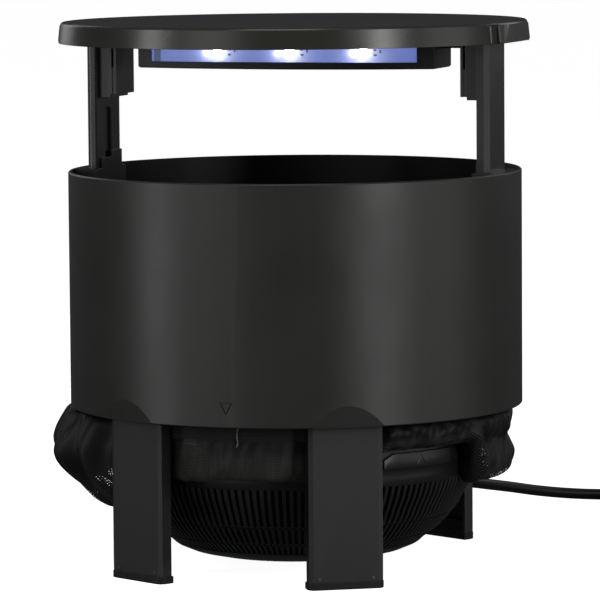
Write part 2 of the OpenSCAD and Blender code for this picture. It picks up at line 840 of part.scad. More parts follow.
module plug_pins() {
    color([0.8, 0.75, 0.55]) at_plug() for (side = [-1, 1])
        translate([relief_len + plug_len, side * pin_pitch / 2, 0])
        span([0, -0.75, -3.15], [pin_len, 0.75, 3.15]);
}

drum_shell();
lower_deck();
inlet_funnel();
fan_guard();
motor_spider();
motor();
fan_shaft();
impeller();
driver_board();
driver_cover();
net_collar();
bayonet_ring();
net();
drawstring();
catch_tray();
at_bearing(leg_bearings[0]) leg();  // leg_front_right
at_bearing(leg_bearings[1]) leg();  // leg_back_right
at_bearing(leg_bearings[2]) leg();  // leg_back_left
at_bearing(leg_bearings[3]) leg();  // leg_front_left
at_bearing(leg_bearings[0]) foot();  // foot_front_right
at_bearing(leg_bearings[1]) foot();  // foot_back_right
at_bearing(leg_bearings[2]) foot();  // foot_back_left
at_bearing(leg_bearings[3]) foot();  // foot_front_left
post_guide(-1);  // post_guide_left
post_guide(1);  // post_guide_right
post(-1);  // post_left
post(1);  // post_right
bracket(-1);  // bracket_left
bracket(1);  // bracket_right
roof_cover();
roof_underplate();
lamp_housing();
lamp_spine();
lamp_window(-1);  // window_front
lamp_window(1);  // window_back
led_board(-1);  // led_board_front
led_board(1);  // led_board_back
leds(-1);  // leds_front
leds(1);  // leds_back
wire_duct();
leg_screws();
foot_pegs();
funnel_screws();
spider_screws();
roof_screws();
lamp_screws();
driver_screws();
cord_gland();
power_cord();
cord_coil();
cord_tail();
coil_ties();
plug_body();
plug_pins();
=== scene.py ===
"""Fan-suction insect trap with an ultraviolet lamp, a mesh net and a slotted catch tray.

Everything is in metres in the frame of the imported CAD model: the origin is on the floor under
the drum's axis, +Z is up and the front faces -Y. Sizes in the classes are millimetres, and
bearings are degrees round the axis, from the front towards +X.
"""

import logging
import math
from collections.abc import Callable, Iterable, Sequence
from dataclasses import dataclass, field
from enum import Enum
from itertools import product

import bmesh
import bpy
from mathutils import Matrix, Vector

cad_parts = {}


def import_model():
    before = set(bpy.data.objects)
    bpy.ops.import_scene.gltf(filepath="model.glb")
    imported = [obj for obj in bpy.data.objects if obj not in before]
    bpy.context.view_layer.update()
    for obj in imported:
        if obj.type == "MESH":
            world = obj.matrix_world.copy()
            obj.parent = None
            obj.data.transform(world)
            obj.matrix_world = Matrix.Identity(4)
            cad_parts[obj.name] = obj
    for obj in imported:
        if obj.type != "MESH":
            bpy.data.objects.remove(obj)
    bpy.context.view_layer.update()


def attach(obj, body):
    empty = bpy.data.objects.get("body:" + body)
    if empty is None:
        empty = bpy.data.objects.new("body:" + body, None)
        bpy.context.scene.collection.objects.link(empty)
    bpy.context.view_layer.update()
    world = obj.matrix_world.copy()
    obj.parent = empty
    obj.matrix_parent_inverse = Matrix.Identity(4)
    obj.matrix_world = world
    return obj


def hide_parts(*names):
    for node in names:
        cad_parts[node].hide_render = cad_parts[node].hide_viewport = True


LOG = logging.getLogger("insect_trap")
MM = 0.001
# Points closer than this are one point. The CAD model's own points are a little less exact.
MERGE_MM = 0.002
CAD_MERGE_MM = 0.004
# Edges sharper than this are rounded.
ROUNDED_DEG = 32
# CAD facets that are flatter than this to each other are joined, and up to the second are shaded
# as one surface, so that a curved wall looks round and a flat on it keeps its outline.
JOINED_DEG = 0.6
CAD_SMOOTH_DEG = 6
Pair = tuple[float, float]
Point = tuple[float, float, float]


class Body(Enum):
    """Bodies of the CAD model that pieces ride on."""

    BASE = "base"
    ROOF = "roof"
    FAN = "fan"
    TRAY = "tray"


# ---- Colour and nodes ----


def linear_colour(code: str) -> tuple[float, float, float, float]:
    """Turns an sRGB hex colour to linear light.

    Args:
        code: Six hex digits after a hash, such as "#1c1c1b".

    Returns:
        Red, green, blue and an alpha of one.
    """
    parts = [int(code[i : i + 2], 16) / 255 for i in (1, 3, 5)]
    light = [c / 12.92 if c <= 0.04045 else ((c + 0.055) / 1.055) ** 2.4 for c in parts]
    return (light[0], light[1], light[2], 1.0)


def add_node(
    tree: bpy.types.NodeTree,
    kind: str,
    values: dict | None = None,
    links: dict | None = None,
    **settings: object,
) -> bpy.types.Node:
    """Adds a node to a tree.

    Args:
        tree: Shader or geometry tree to add to.
        kind: Blender's name of the node's type.
        values: Input socket, by name or number, to its constant.
        links: Input socket, by name or number, to the output socket it reads.
        settings: Properties of the node itself.

    Returns:
        The new node.
    """
    node = tree.nodes.new(kind)
    for name, value in settings.items():
        setattr(node, name, value)
    for socket, value in (values or {}).items():
        node.inputs[socket].default_value = value
    for socket, source in (links or {}).items():
        tree.links.new(source, node.inputs[socket])
    return node


def math_node(tree: bpy.types.NodeTree, operation: str, *terms: object) -> bpy.types.NodeSocket:
    """Adds one step of arithmetic and returns its result.

    Args:
        tree: Shader tree to add to.
        operation: Name of the operation, such as "ADD".
        terms: Constants and output sockets, in order.

    Returns:
        The output socket.
    """
    values = {i: t for i, t in enumerate(terms) if isinstance(t, (int, float))}
    links = {i: t for i, t in enumerate(terms) if not isinstance(t, (int, float))}
    return add_node(tree, "ShaderNodeMath", values, links, operation=operation).outputs[0]


def mixed(
    tree: bpy.types.NodeTree, low: object, high: object, share: bpy.types.NodeSocket
) -> bpy.types.NodeSocket:
    """Mixes two colours and returns the result.

    Args:
        tree: Shader tree to add to.
        low: Colour, constant or socket, where the share is nought.
        high: Constant colour where the share is one.
        share: Output socket of the share.

    Returns:
        The output socket of the colour.
    """
    values, links = {7: high}, {0: share}
    (values if isinstance(low, tuple) else links)[6] = low
    return add_node(tree, "ShaderNodeMix", values, links, data_type="RGBA").outputs[2]


def cleared(owner: bpy.types.Material | bpy.types.World) -> bpy.types.NodeTree:
    """Gives a material or a world an empty node tree and returns it."""
    owner.use_nodes = True
    owner.node_tree.nodes.clear()
    return owner.node_tree


@dataclass(frozen=True)
class Finish:
    """A surface: what it is made of and how it was made."""

    name: str

    def paint(self, tree: bpy.types.NodeTree, surface: bpy.types.Node) -> None:
        """Adds the finish's own nodes round the Principled surface."""

    def material(self) -> bpy.types.Material:
        """Returns the finish's material, making it the first time."""
        found = bpy.data.materials.get(self.name)
        if found:
            return found
        made = bpy.data.materials.new(self.name)
        tree = cleared(made)
        surface = add_node(tree, "ShaderNodeBsdfPrincipled")
        add_node(tree, "ShaderNodeOutputMaterial", links={"Surface": surface.outputs[0]})
        self.paint(tree, surface)
        return made


@dataclass(frozen=True)
class MouldedPlastic(Finish):
    """Injection-moulded ABS or polypropylene.

    The mould's wall is spark-eroded, which leaves an even matt grain, and the flow of the melt
    leaves slow changes of gloss. The grain of 0.1 mm is drawn at several times its size to show.
    """

    colour: str = "#1f1f1d"
    roughness: float = 0.46
    grain_mm: float = 0.8
    grain_depth_mm: float = 0.03
    spread: float = 0.16
    specular: float = 0.5
    rubbed_and_highlit: float = 0.0

    def paint(self, tree: bpy.types.NodeTree, surface: bpy.types.Node) -> None:
        """Grain as bump, slow changes of gloss and shade, and paler edges: part rubbed wear, part
        painted edge highlight.
        """
        where = add_node(tree, "ShaderNodeTexCoord").outputs["Object"]
        cloud = add_node(
            tree, "ShaderNodeTexNoise", {"Scale": 1 / (45 * MM), "Detail": 2.0}, {"Vector": where}
        )
        grain = add_node(
            tree,
            "ShaderNodeTexNoise",
            {"Scale": 1 / (self.grain_mm * MM), "Detail": 2.0, "Roughness": 0.6},
            {"Vector": where},
        )
        deep = linear_colour(self.colour)
        pale = tuple(min(1.0, c * (1 + 2 * self.spread)) for c in deep[:3]) + (1.0,)
        patches = math_node(tree, "MULTIPLY", cloud.outputs[0], grain.outputs[0])
        colour = mixed(tree, deep, pale, patches)
        # Convex edges are painted paler: part rubbed wear, part painted highlight.
        if self.rubbed_and_highlit:
            edge = add_node(
                tree,
                "ShaderNodeMapRange",
                {"From Min": 0.52, "From Max": 0.62, "To Max": self.rubbed_and_highlit},
                {"Value": add_node(tree, "ShaderNodeNewGeometry").outputs["Pointiness"]},
            )
            worn_and_highlit = tuple(min(1.0, c * 3 + 0.01) for c in deep[:3]) + (1.0,)
            colour = mixed(tree, colour, worn_and_highlit, edge.outputs[0])
        gloss = add_node(
            tree,
            "ShaderNodeMapRange",
            {
                "From Min": 0.3,
                "From Max": 0.7,
                "To Min": self.roughness - 0.04,
                "To Max": self.roughness + 0.04,
            },
            {"Value": cloud.outputs[0]},
        )
        bump = add_node(
            tree,
            "ShaderNodeBump",
            {"Strength": 0.6, "Distance": self.grain_depth_mm * MM},
            {"Height": grain.outputs[0]},
        )
        surface.inputs["Specular IOR Level"].default_value = self.specular
        surface.inputs["IOR"].default_value = 1.5
        tree.links.new(colour, surface.inputs["Base Color"])
        tree.links.new(gloss.outputs[0], surface.inputs["Roughness"])
        tree.links.new(bump.outputs[0], surface.inputs["Normal"])


@dataclass(frozen=True)
class PlatedMetal(Finish):
    """Metal with a plated or drawn surface: a clear sheen, broken by fine lines."""

    colour: str = "#b9bbbd"
    roughness: float = 0.32
    line_mm: float = 0.7
    line_axis: Point = (1.0, 1.0, 8.0)

    def paint(self, tree: bpy.types.NodeTree, surface: bpy.types.Node) -> None:
        """Drawn lines as bump, and a faint change of gloss."""
        where = add_node(tree, "ShaderNodeTexCoord").outputs["Object"]
        stretched = add_node(
            tree, "ShaderNodeMapping", {"Scale": self.line_axis}, {"Vector": where}
        )
        lines = add_node(
            tree,
            "ShaderNodeTexNoise",
            {"Scale": 1 / (self.line_mm * 4 * MM), "Detail": 3.0},
            {"Vector": stretched.outputs[0]},
        )
        gloss = add_node(
            tree,
            "ShaderNodeMapRange",
            {"To Min": self.roughness - 0.08, "To Max": self.roughness + 0.08},
            {"Value": lines.outputs[0]},
        )
        bump = add_node(
            tree,
            "ShaderNodeBump",
            {"Strength": 0.25, "Distance": 0.02 * MM},
            {"Height": lines.outputs[0]},
        )
        surface.inputs["Metallic"].default_value = 1.0
        surface.inputs["Base Color"].default_value = linear_colour(self.colour)
        tree.links.new(gloss.outputs[0], surface.inputs["Roughness"])
        tree.links.new(bump.outputs[0], surface.inputs["Normal"])


@dataclass(frozen=True)
class LampLit(Finish):
    """A surface in the lamp's own light, brightest round each diode and fading along the lamp.

    The diodes stand at one pitch along X, so the light falls off with the distance from the
    nearest one.
    """

    base: str = "#c9cfe4"
    glow: str = "#6d84e0"
    strength: float = 0.8
    core: float = 3.0
    reach_mm: float = 5.5
    alpha: float = 1.0
    pitch_mm: float = 48.5
    diode_z_mm: float = 326.4
    end_line_mm: float = 0.0
    roughness: float = 0.25

    def paint(self, tree: bpy.types.NodeTree, surface: bpy.types.Node) -> None:
        """Emission from the distance to the nearest diode, over a plain base."""
        where = add_node(tree, "ShaderNodeTexCoord").outputs["Object"]
        parts = add_node(tree, "ShaderNodeSeparateXYZ", links={0: where})
        pitch = self.pitch_mm * MM
        nearest = math_node(
            tree, "ROUND", math_node(tree, "DIVIDE", parts.outputs[0], pitch)
        )
        nearest = math_node(tree, "MAXIMUM", math_node(tree, "MINIMUM", nearest, 1.0), -1.0)
        dx = math_node(
            tree, "SUBTRACT", parts.outputs[0], math_node(tree, "MULTIPLY", nearest, pitch)
        )
        dz = math_node(tree, "SUBTRACT", parts.outputs[2], self.diode_z_mm * MM)
        away = math_node(
            tree,
            "SQRT",
            math_node(
                tree,
                "ADD",
                math_node(tree, "MULTIPLY", dx, dx),
                math_node(tree, "MULTIPLY", dz, dz),
            ),
        )
        fall = math_node(
            tree, "EXPONENT", math_node(tree, "MULTIPLY", away, -1 / (self.reach_mm * MM))
        )
        power = math_node(
            tree, "ADD", math_node(tree, "MULTIPLY", fall, self.core), self.strength
        )
        # The window's end past this line is painted brighter: a painted glow.
        if self.end_line_mm:
            edge = math_node(tree, "LESS_THAN", parts.outputs[0], -self.end_line_mm * MM)
            power = math_node(tree, "ADD", power, math_node(tree, "MULTIPLY", edge, 1.6))
        cloud = add_node(
            tree, "ShaderNodeTexNoise", {"Scale": 1 / (9 * MM), "Detail": 2.0}, {"Vector": where}
        )
        power = math_node(
            tree,
            "MULTIPLY",
            power,
            math_node(tree, "ADD", math_node(tree, "MULTIPLY", cloud.outputs[0], 0.4), 0.8),
        )
        near = math_node(tree, "MINIMUM", math_node(tree, "MULTIPLY", fall, 1.6), 1.0)
        tint = mixed(tree, linear_colour(self.glow), linear_colour("#f4f5ff"), near)
        surface.inputs["Base Color"].default_value = linear_colour(self.base)
        surface.inputs["Roughness"].default_value = self.roughness
        surface.inputs["Alpha"].default_value = self.alpha
        tree.links.new(tint, surface.inputs["Emission Color"])
        tree.links.new(power, surface.inputs["Emission Strength"])


@dataclass(frozen=True)
class KnittedNet(Finish):
    """Knitted polyester net: thin yarns that cross in diamonds, with open holes between them.

    The real mesh is about 1 mm. It is drawn with a wider pitch, so that its holes show. Where the
    cloth is gathered, its layers lie on each other and the holes close up.
    """

    colour: str = "#0e0e0f"
    # Pale colour of the yarns' crossings: a painted highlight.
    crossing_highlight: str = "#71706b"
    pitch_mm: float = 1.9
    yarn_share: float = 0.34
    close_share: float = 0.9
    flat_mm: Pair = (1000.0, 130.0)

    def paint(self, tree: bpy.types.NodeTree, surface: bpy.types.Node) -> None:
        """Two slanted families of yarn on the cloth's own map, opaque only on the yarns."""
        parts = add_node(
            tree,
            "ShaderNodeSeparateXYZ",
            links={0: add_node(tree, "ShaderNodeUVMap", uv_map="cloth").outputs[0]},
        )
        along = math_node(tree, "MULTIPLY", parts.outputs[0], self.flat_mm[0] / self.pitch_mm)
        down = math_node(tree, "MULTIPLY", parts.outputs[1], self.flat_mm[1] / self.pitch_mm)
        ridges = []
        for slant in ("ADD", "SUBTRACT"):
            step = math_node(tree, "FRACT", math_node(tree, slant, along, down))
            ridges.append(
                math_node(
                    tree,
                    "ABSOLUTE",
                    math_node(tree, "SUBTRACT", math_node(tree, "MULTIPLY", step, 2.0), 1.0),
                )
            )
        ridge = math_node(tree, "MAXIMUM", ridges[0], ridges[1])
        close = add_node(tree, "ShaderNodeAttribute", attribute_name="gather").outputs["Fac"]
        shift = math_node(tree, "MULTIPLY", close, self.close_share)
        cover = add_node(
            tree,
            "ShaderNodeMapRange",
            {"From Min": 0.9 - self.yarn_share, "From Max": 1.08 - self.yarn_share},
            {"Value": math_node(tree, "ADD", ridge, shift)},
            interpolation_type="SMOOTHSTEP",
        )
        # The yarns' crossings are painted pale as a painted highlight. It is left out where the
        # cloth is gathered, so the gathers stay dark as painted shade.
        crossing = math_node(tree, "MULTIPLY", ridges[0], ridges[1])
        loose = math_node(tree, "SUBTRACT", 1.0, close)
        lit_crossings = math_node(tree, "MULTIPLY", math_node(tree, "POWER", crossing, 1.3), loose)
        tone = mixed(tree, linear_colour(self.colour), linear_colour(self.crossing_highlight), lit_crossings)
        bump = add_node(
            tree, "ShaderNodeBump", {"Strength": 0.4, "Distance": 0.25 * MM}, {"Height": ridge}
        )
        surface.inputs["Roughness"].default_value = 0.58
        surface.inputs["Specular IOR Level"].default_value = 0.35
        surface.inputs["Sheen Weight"].default_value = 0.04
        surface.inputs["Sheen Roughness"].default_value = 0.4
        tree.links.new(tone, surface.inputs["Base Color"])
        tree.links.new(cover.outputs[0], surface.inputs["Alpha"])
        tree.links.new(bump.outputs[0], surface.inputs["Normal"])


@dataclass(frozen=True)
class TwistedYarn(Finish):
    """Spun and twisted yarn, or tape woven from it: soft, with fine slanted ridges."""

    colour: str = "#8f8d86"
    ridge_mm: float = 0.9

    def paint(self, tree: bpy.types.NodeTree, surface: bpy.types.Node) -> None:
        """Slanted bands as bump and shade."""
        where = add_node(tree, "ShaderNodeTexCoord").outputs["Object"]
        bands = add_node(
            tree,
            "ShaderNodeTexWave",
            {"Scale": 1 / (self.ridge_mm * 3.2 * MM), "Distortion": 1.5, "Detail": 2.0},
            {"Vector": where},
            bands_direction="DIAGONAL",
        )
        dark = linear_colour(self.colour)
        pale = tuple(min(1.0, c * 1.5) for c in dark[:3]) + (1.0,)
        shade = mixed(tree, dark, pale, bands.outputs["Fac"])
        bump = add_node(
            tree,
            "ShaderNodeBump",
            {"Strength": 0.5, "Distance": 0.15 * MM},
            {"Height": bands.outputs["Fac"]},
        )
        surface.inputs["Roughness"].default_value = 0.85
        surface.inputs["Sheen Weight"].default_value = 0.2
        tree.links.new(shade, surface.inputs["Base Color"])
        tree.links.new(bump.outputs[0], surface.inputs["Normal"])


# Large mouldings: a fine matt grain that spreads a softbox into a broad dull highlight.
DRUM_ABS = MouldedPlastic("spark_grained_abs_drum", "#2a2a28", 0.43, rubbed_and_highlit=0.25)
# The roof has the same grain but more gloss, in a shade that is a touch warmer.
ROOF_ABS = MouldedPlastic("spark_grained_abs_roof", "#30302c", 0.26, rubbed_and_highlit=0.25)
# Sliding parts are moulded smoother, so their edges catch narrow lines of light.
FRAME_ABS = MouldedPlastic("smooth_abs_frame", "#242423", 0.3, 1.2, 0.012, rubbed_and_highlit=0.3)
# The legs have a coarser and deeper grain, which makes them flatter than the drum.
LEG_ABS = MouldedPlastic("coarse_grained_abs_legs", "#242423", 0.55, 1.0, 0.06, rubbed_and_highlit=0.3)
# The sides of the legs are smooth and nearly black: painted shade, standing for the dark inside of
# each leg's channel.
LEG_SIDE_SHADE_ABS = MouldedPlastic("smooth_abs_leg_sides_painted_shade", "#0b0b0b", 0.32, 1.2, 0.012, rubbed_and_highlit=0.3)
# Inner ducts are left as moulded, dark and even.
INNER_ABS = MouldedPlastic("plain_abs_inner", "#151514", 0.5)
# The inside of the drum is left as moulded too, and painted nearly black as painted shade.
DRUM_INSIDE_SHADE_ABS = MouldedPlastic("plain_abs_drum_inside_painted_shade", "#09090b", 0.45, specular=0.3)
# The tray is tougher and slightly waxy, so its ribs shine at their tips.
TRAY_PP = MouldedPlastic("waxy_polypropylene_tray", "#1b1b1a", 0.36, 1.4, 0.015, rubbed_and_highlit=0.35)
# The screen behind the ribs is thin and dull.
SCREEN_PP = MouldedPlastic("fine_polypropylene_screen", "#101010", 0.6, 1.6, 0.15)
# The fan's blades are glass-filled and a little grey.
FAN_PP = MouldedPlastic("glass_filled_polypropylene_fan", "#232325", 0.42)
# Foot pads: black rubber with little shine.
FOOT_RUBBER = MouldedPlastic("moulded_rubber_feet", "#151515", 0.62, 1.5, 0.05, specular=0.4)
# Cord, relief and plug: soft PVC with a low even sheen.
CORD_PVC = MouldedPlastic("extruded_pvc_cord", "#0d0d0d", 0.42, 1.6, 0.02, specular=0.45)
# Circuit boards: an even lacquer over copper and glass cloth.
GREEN_MASK = MouldedPlastic("green_solder_mask", "#1d5a35", 0.3, 1.0, 0.02)
CHIP_CERAMIC = MouldedPlastic("fired_ceramic_chips", "#8d7f6a", 0.4)
SCREW_ZINC = PlatedMetal("zinc_plated_steel", "#b4b7b9", 0.3)
PEG_STEEL = PlatedMetal("blackened_steel_pegs", "#6c6b68", 0.38)
MOTOR_STEEL = PlatedMetal("drawn_steel_can", "#a9abad", 0.34, 1.0, (1.0, 1.0, 12.0))
PIN_BRASS = PlatedMetal("nickel_plated_brass", "#cfc5a0", 0.22)
# The window is clear polycarbonate, which carries some of the lamp's light in its thickness.
WINDOW_PC = LampLit(
    "clear_polycarbonate_window", "#aebbe6", "#6c82de", 0.2, 5.0, 2.3, 0.22, end_line_mm=86.8
)
# White solder mask, lit to a pale blue.
BOARD_MASK = LampLit("white_solder_mask_lit", "#b9c4ea", "#7288de", 0.62, 1.6, 7.0)
# Silicone over the diode: far brighter than all else, so it reads as white.
DIODE_LENS = LampLit("silicone_diode_lens", "#f2f4ff", "#e9edff", 14.0, 30.0, 6.0)
# The net is cut wider on its bagging sides, so its area is less than its length by its width.
NET_FLAT: Pair = (920.0, 165.0)
NET_KNIT = KnittedNet("knitted_polyester_net", flat_mm=NET_FLAT)
HEM_TAPE = TwistedYarn("woven_polyester_tape", "#161617", 0.8)
GREY_YARN = TwistedYarn("twisted_grey_yarn", "#83817a", 0.6)
BLACK_YARN = TwistedYarn("twisted_black_yarn", "#2b2b2c", 0.5)


# ---- Mesh drafting ----


def bearing_point(bearing: float, radius: float, height: float) -> Point:
    """Returns the point at a bearing, radius and height, in millimetres."""
    turn = math.radians(bearing)
    return (radius * math.sin(turn), -radius * math.cos(turn), height)


def catmull(points: Sequence[Sequence[float]], steps: int) -> list[tuple[float, ...]]:
    """Runs a smooth line through points.

    Args:
        points: Points to pass through, of any dimension.
        steps: Number of pieces between two neighbouring points.

    Returns:
        The line's points, the last one included.
    """
    line = []
    last = len(points) - 1
    for i in range(last):
        a, b, c, d = (points[max(0, min(last, i + k))] for k in (-1, 0, 1, 2))
        for k in range(steps):
            t = k / steps
            line.append(
                tuple(
                    0.5
                    * (
                        2 * q
                        + (r - p) * t
                        + (2 * p - 5 * q + 4 * r - s) * t * t
                        + (3 * q - 3 * r + s - p) * t**3
                    )
                    for p, q, r, s in zip(a, b, c, d)
                )
            )
    line.append(tuple(points[last]))
    return line


def circle(radius: float, count: int) -> list[Pair]:
    """Returns evenly spaced points of a circle round the origin."""
    turns = [math.tau * k / count for k in range(count)]
    return [(radius * math.cos(a), radius * math.sin(a)) for a in turns]


def blend(start: float, end: float, share: float) -> float:
    """Returns the value at a share of the way from a start to an end."""
    return start + (end - start) * share


def eased(share: float) -> float:
    """Returns a share that starts and stops gently."""
    return share * share * (3 - 2 * share)


def placed(name: str, data: bpy.types.ID) -> bpy.types.Object:
    """Makes an object of some data and links it to the scene."""
    made = bpy.data.objects.new(name, data)
    bpy.context.scene.collection.objects.link(made)
    return made


@dataclass
class Draft:
    """Vertices in millimetres and faces, gathered into one mesh."""

    points: list[Point] = field(default_factory=list)
    faces: list[tuple[int, ...]] = field(default_factory=list)

    def add(self, points: Iterable[Sequence[float]], faces: Iterable[Sequence[int]]) -> None:
        """Adds a shape, its faces numbered from its own first point."""
        first = len(self.points)
        self.points.extend(tuple(p) for p in points)
        self.faces.extend(tuple(first + i for i in f) for f in faces)

    def loft(self, rings: Sequence[Sequence[Sequence[float]]], capped: bool = True) -> None:
        """Joins rings of equal length in order.

        Args:
            rings: Closed rings of points.
            capped: Whether the two ends are closed with a face.
        """
        size = len(rings[0])
        faces = [
            (i * size + k, i * size + n, (i + 1) * size + n, (i + 1) * size + k)
            for i in range(len(rings) - 1)
            for k, n in zip(range(size), [*range(1, size), 0])
        ]
        if capped:
            faces.append(tuple(reversed(range(size))))
            faces.append(tuple((len(rings) - 1) * size + k for k in range(size)))
        self.add([p for ring in rings for p in ring], faces)

    def turn(
        self, section: Sequence[Pair], steps: int, start: float = 0.0, sweep: float = 360.0
    ) -> None:
        """Turns a closed section of radius and height round the axis.

        Args:
            section: Closed outline of (radius, height).
            steps: Number of pieces round the sweep.
            start: Bearing of the first section.
            sweep: Angle turned, 360 for a closed ring.
        """
        whole = sweep >= 360
        rings = [
            [bearing_point(start + sweep * i / steps, r, z) for r, z in section]
            for i in range(steps if whole else steps + 1)
        ]
        if whole:
            rings.append(rings[0])
        self.loft(rings, capped=not whole)

    def block(self, low: Point, high: Point, place: Matrix | None = None) -> None:
        """Adds a box between two corners, moved by a matrix if one is given."""
        corners = [
            Vector((x, y, z)) for z in (low[2], high[2]) for x, y in (
                (low[0], low[1]), (high[0], low[1]), (high[0], high[1]), (low[0], high[1]))
        ]
        if place:
            corners = [place @ c for c in corners]
        faces = ((3, 2, 1, 0), (4, 5, 6, 7), (0, 1, 5, 4), (1, 2, 6, 5), (2, 3, 7, 6), (3, 0, 4, 7))
        self.add([tuple(c) for c in corners], faces)

    def piece(
        self,
        name: str,
        finish: Finish,
        round_mm: float = 0.0,
        segments: int = 2,
        smooth_deg: float = 35.0,
        move: Matrix | None = None,
    ) -> bpy.types.Object:
        """Makes the drafted mesh an object, in metres, at the origin.

        Args:
            name: Name of the piece.
            finish: Finish of all its faces.
            round_mm: Radius given to its sharp edges.
            segments: Number of faces across a rounded edge.
            smooth_deg: Faces that meet at less than this are shaded as one.
            move: Place of the draft, in millimetres.

        Returns:
            The new object.
        """
        mesh = bmesh.new()
        moved = [move @ Vector(p) if move else Vector(p) for p in self.points]
        verts = [mesh.verts.new(p * MM) for p in moved]
        for face in self.faces:
            if len(set(face)) > 2 and mesh.faces.get([verts[i] for i in face]) is None:
                mesh.faces.new([verts[i] for i in face])
        return finished(name, mesh, finish, round_mm, segments, smooth_deg)


def finished(
    name: str,
    mesh: bmesh.types.BMesh,
    finish: Finish,
    round_mm: float = 0.0,
    segments: int = 2,
    smooth_deg: float = 35.0,
) -> bpy.types.Object:
    """Merges doubles, rounds sharp edges, turns faces outwards and makes the object.

    Args:
        name: Name of the piece.
        mesh: Mesh in metres; it is used up.
        finish: Finish of all its faces.
        round_mm: Radius given to its sharp edges.
        segments: Number of faces across a rounded edge.
        smooth_deg: Faces that meet at less than this are shaded as one.

    Returns:
        The new object.
    """
    bmesh.ops.remove_doubles(mesh, verts=mesh.verts, dist=MERGE_MM * MM)
    bmesh.ops.dissolve_degenerate(mesh, edges=mesh.edges, dist=MERGE_MM * MM)
    bmesh.ops.recalc_face_normals(mesh, faces=mesh.faces)
    if round_mm:
        sharp = [
            e for e in mesh.edges
            if e.is_manifold and e.calc_face_angle(0.0) > math.radians(ROUNDED_DEG)
        ]
        bmesh.ops.bevel(
            mesh,
            geom=sharp,
            offset=round_mm * MM,
            offset_type="OFFSET",
            segments=segments,
            profile=0.5,
            affect="EDGES",
            clamp_overlap=True,
        )
    data = bpy.data.meshes.new(name)
    mesh.to_mesh(data)
    mesh.free()
    for face in data.polygons:
        face.use_smooth = True
    data.set_sharp_from_angle(angle=math.radians(smooth_deg))
    data.materials.append(finish.material())
    return placed(name, data)


def softened(node: str, name: str, finish: Finish, round_mm: float) -> bpy.types.Object:
    """Copies a CAD part, with the small radius that a moulded part has on its edges.

    Args:
        node: Name of the CAD node.
        name: Name of the new piece.
        finish: Finish of the new piece.
        round_mm: Radius given to sharp edges.

    Returns:
        The new piece, standing for the node.
    """
    mesh = bmesh.new()
    mesh.from_mesh(bpy.data.objects[node].data)
    bmesh.ops.remove_doubles(mesh, verts=mesh.verts, dist=CAD_MERGE_MM * MM)
    bmesh.ops.dissolve_limit(
        mesh, angle_limit=math.radians(JOINED_DEG), verts=mesh.verts, edges=mesh.edges
    )
    made = finished(name, mesh, finish, round_mm, smooth_deg=CAD_SMOOTH_DEG)
    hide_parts(node)
    return made


def refaced(
    piece: bpy.types.Object, finish: Finish, chosen: Callable[[Vector, Vector], bool]
) -> None:
    """Gives some faces of a piece a second finish.

    Args:
        piece: The piece.
        finish: The second finish.
        chosen: Tells from a face's centre and normal whether it takes the second finish.
    """
    piece.data.materials.append(finish.material())
    for face in piece.data.polygons:
        if chosen(face.center, face.normal):
            face.material_index = 1


def settle(piece: bpy.types.Object, body: Body, slot: str, *nodes: str) -> bpy.types.Object:
    """Makes a piece ride on a body and hides the nodes it stands for.

    Args:
        piece: The finished piece.
        body: Body that it moves with.
        slot: Name of the material slot; it is not used.
        nodes: CAD nodes that it stands for.

    Returns:
        The same piece.
    """
    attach(piece, body.value)
    if nodes:
        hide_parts(*nodes)
    LOG.info("%s rides on %s", piece.name, body.value)
    return piece


def dress(finish: Finish, *nodes: str) -> None:
    """Gives CAD nodes that stay as they are a finish."""
    for node in nodes:
        shown = bpy.data.objects[node]
        if not shown.material_slots:
            shown.data.materials.append(finish.material())
        for place in shown.material_slots:
            place.material = finish.material()
        LOG.info("%s is %s", node, finish.name)


# ---- Repeats by Geometry Nodes ----


class Repeat(Enum):
    """Ways in which a small shape is repeated."""

    RING = "ring"
    POINTS = "points"
    LINE = "line"


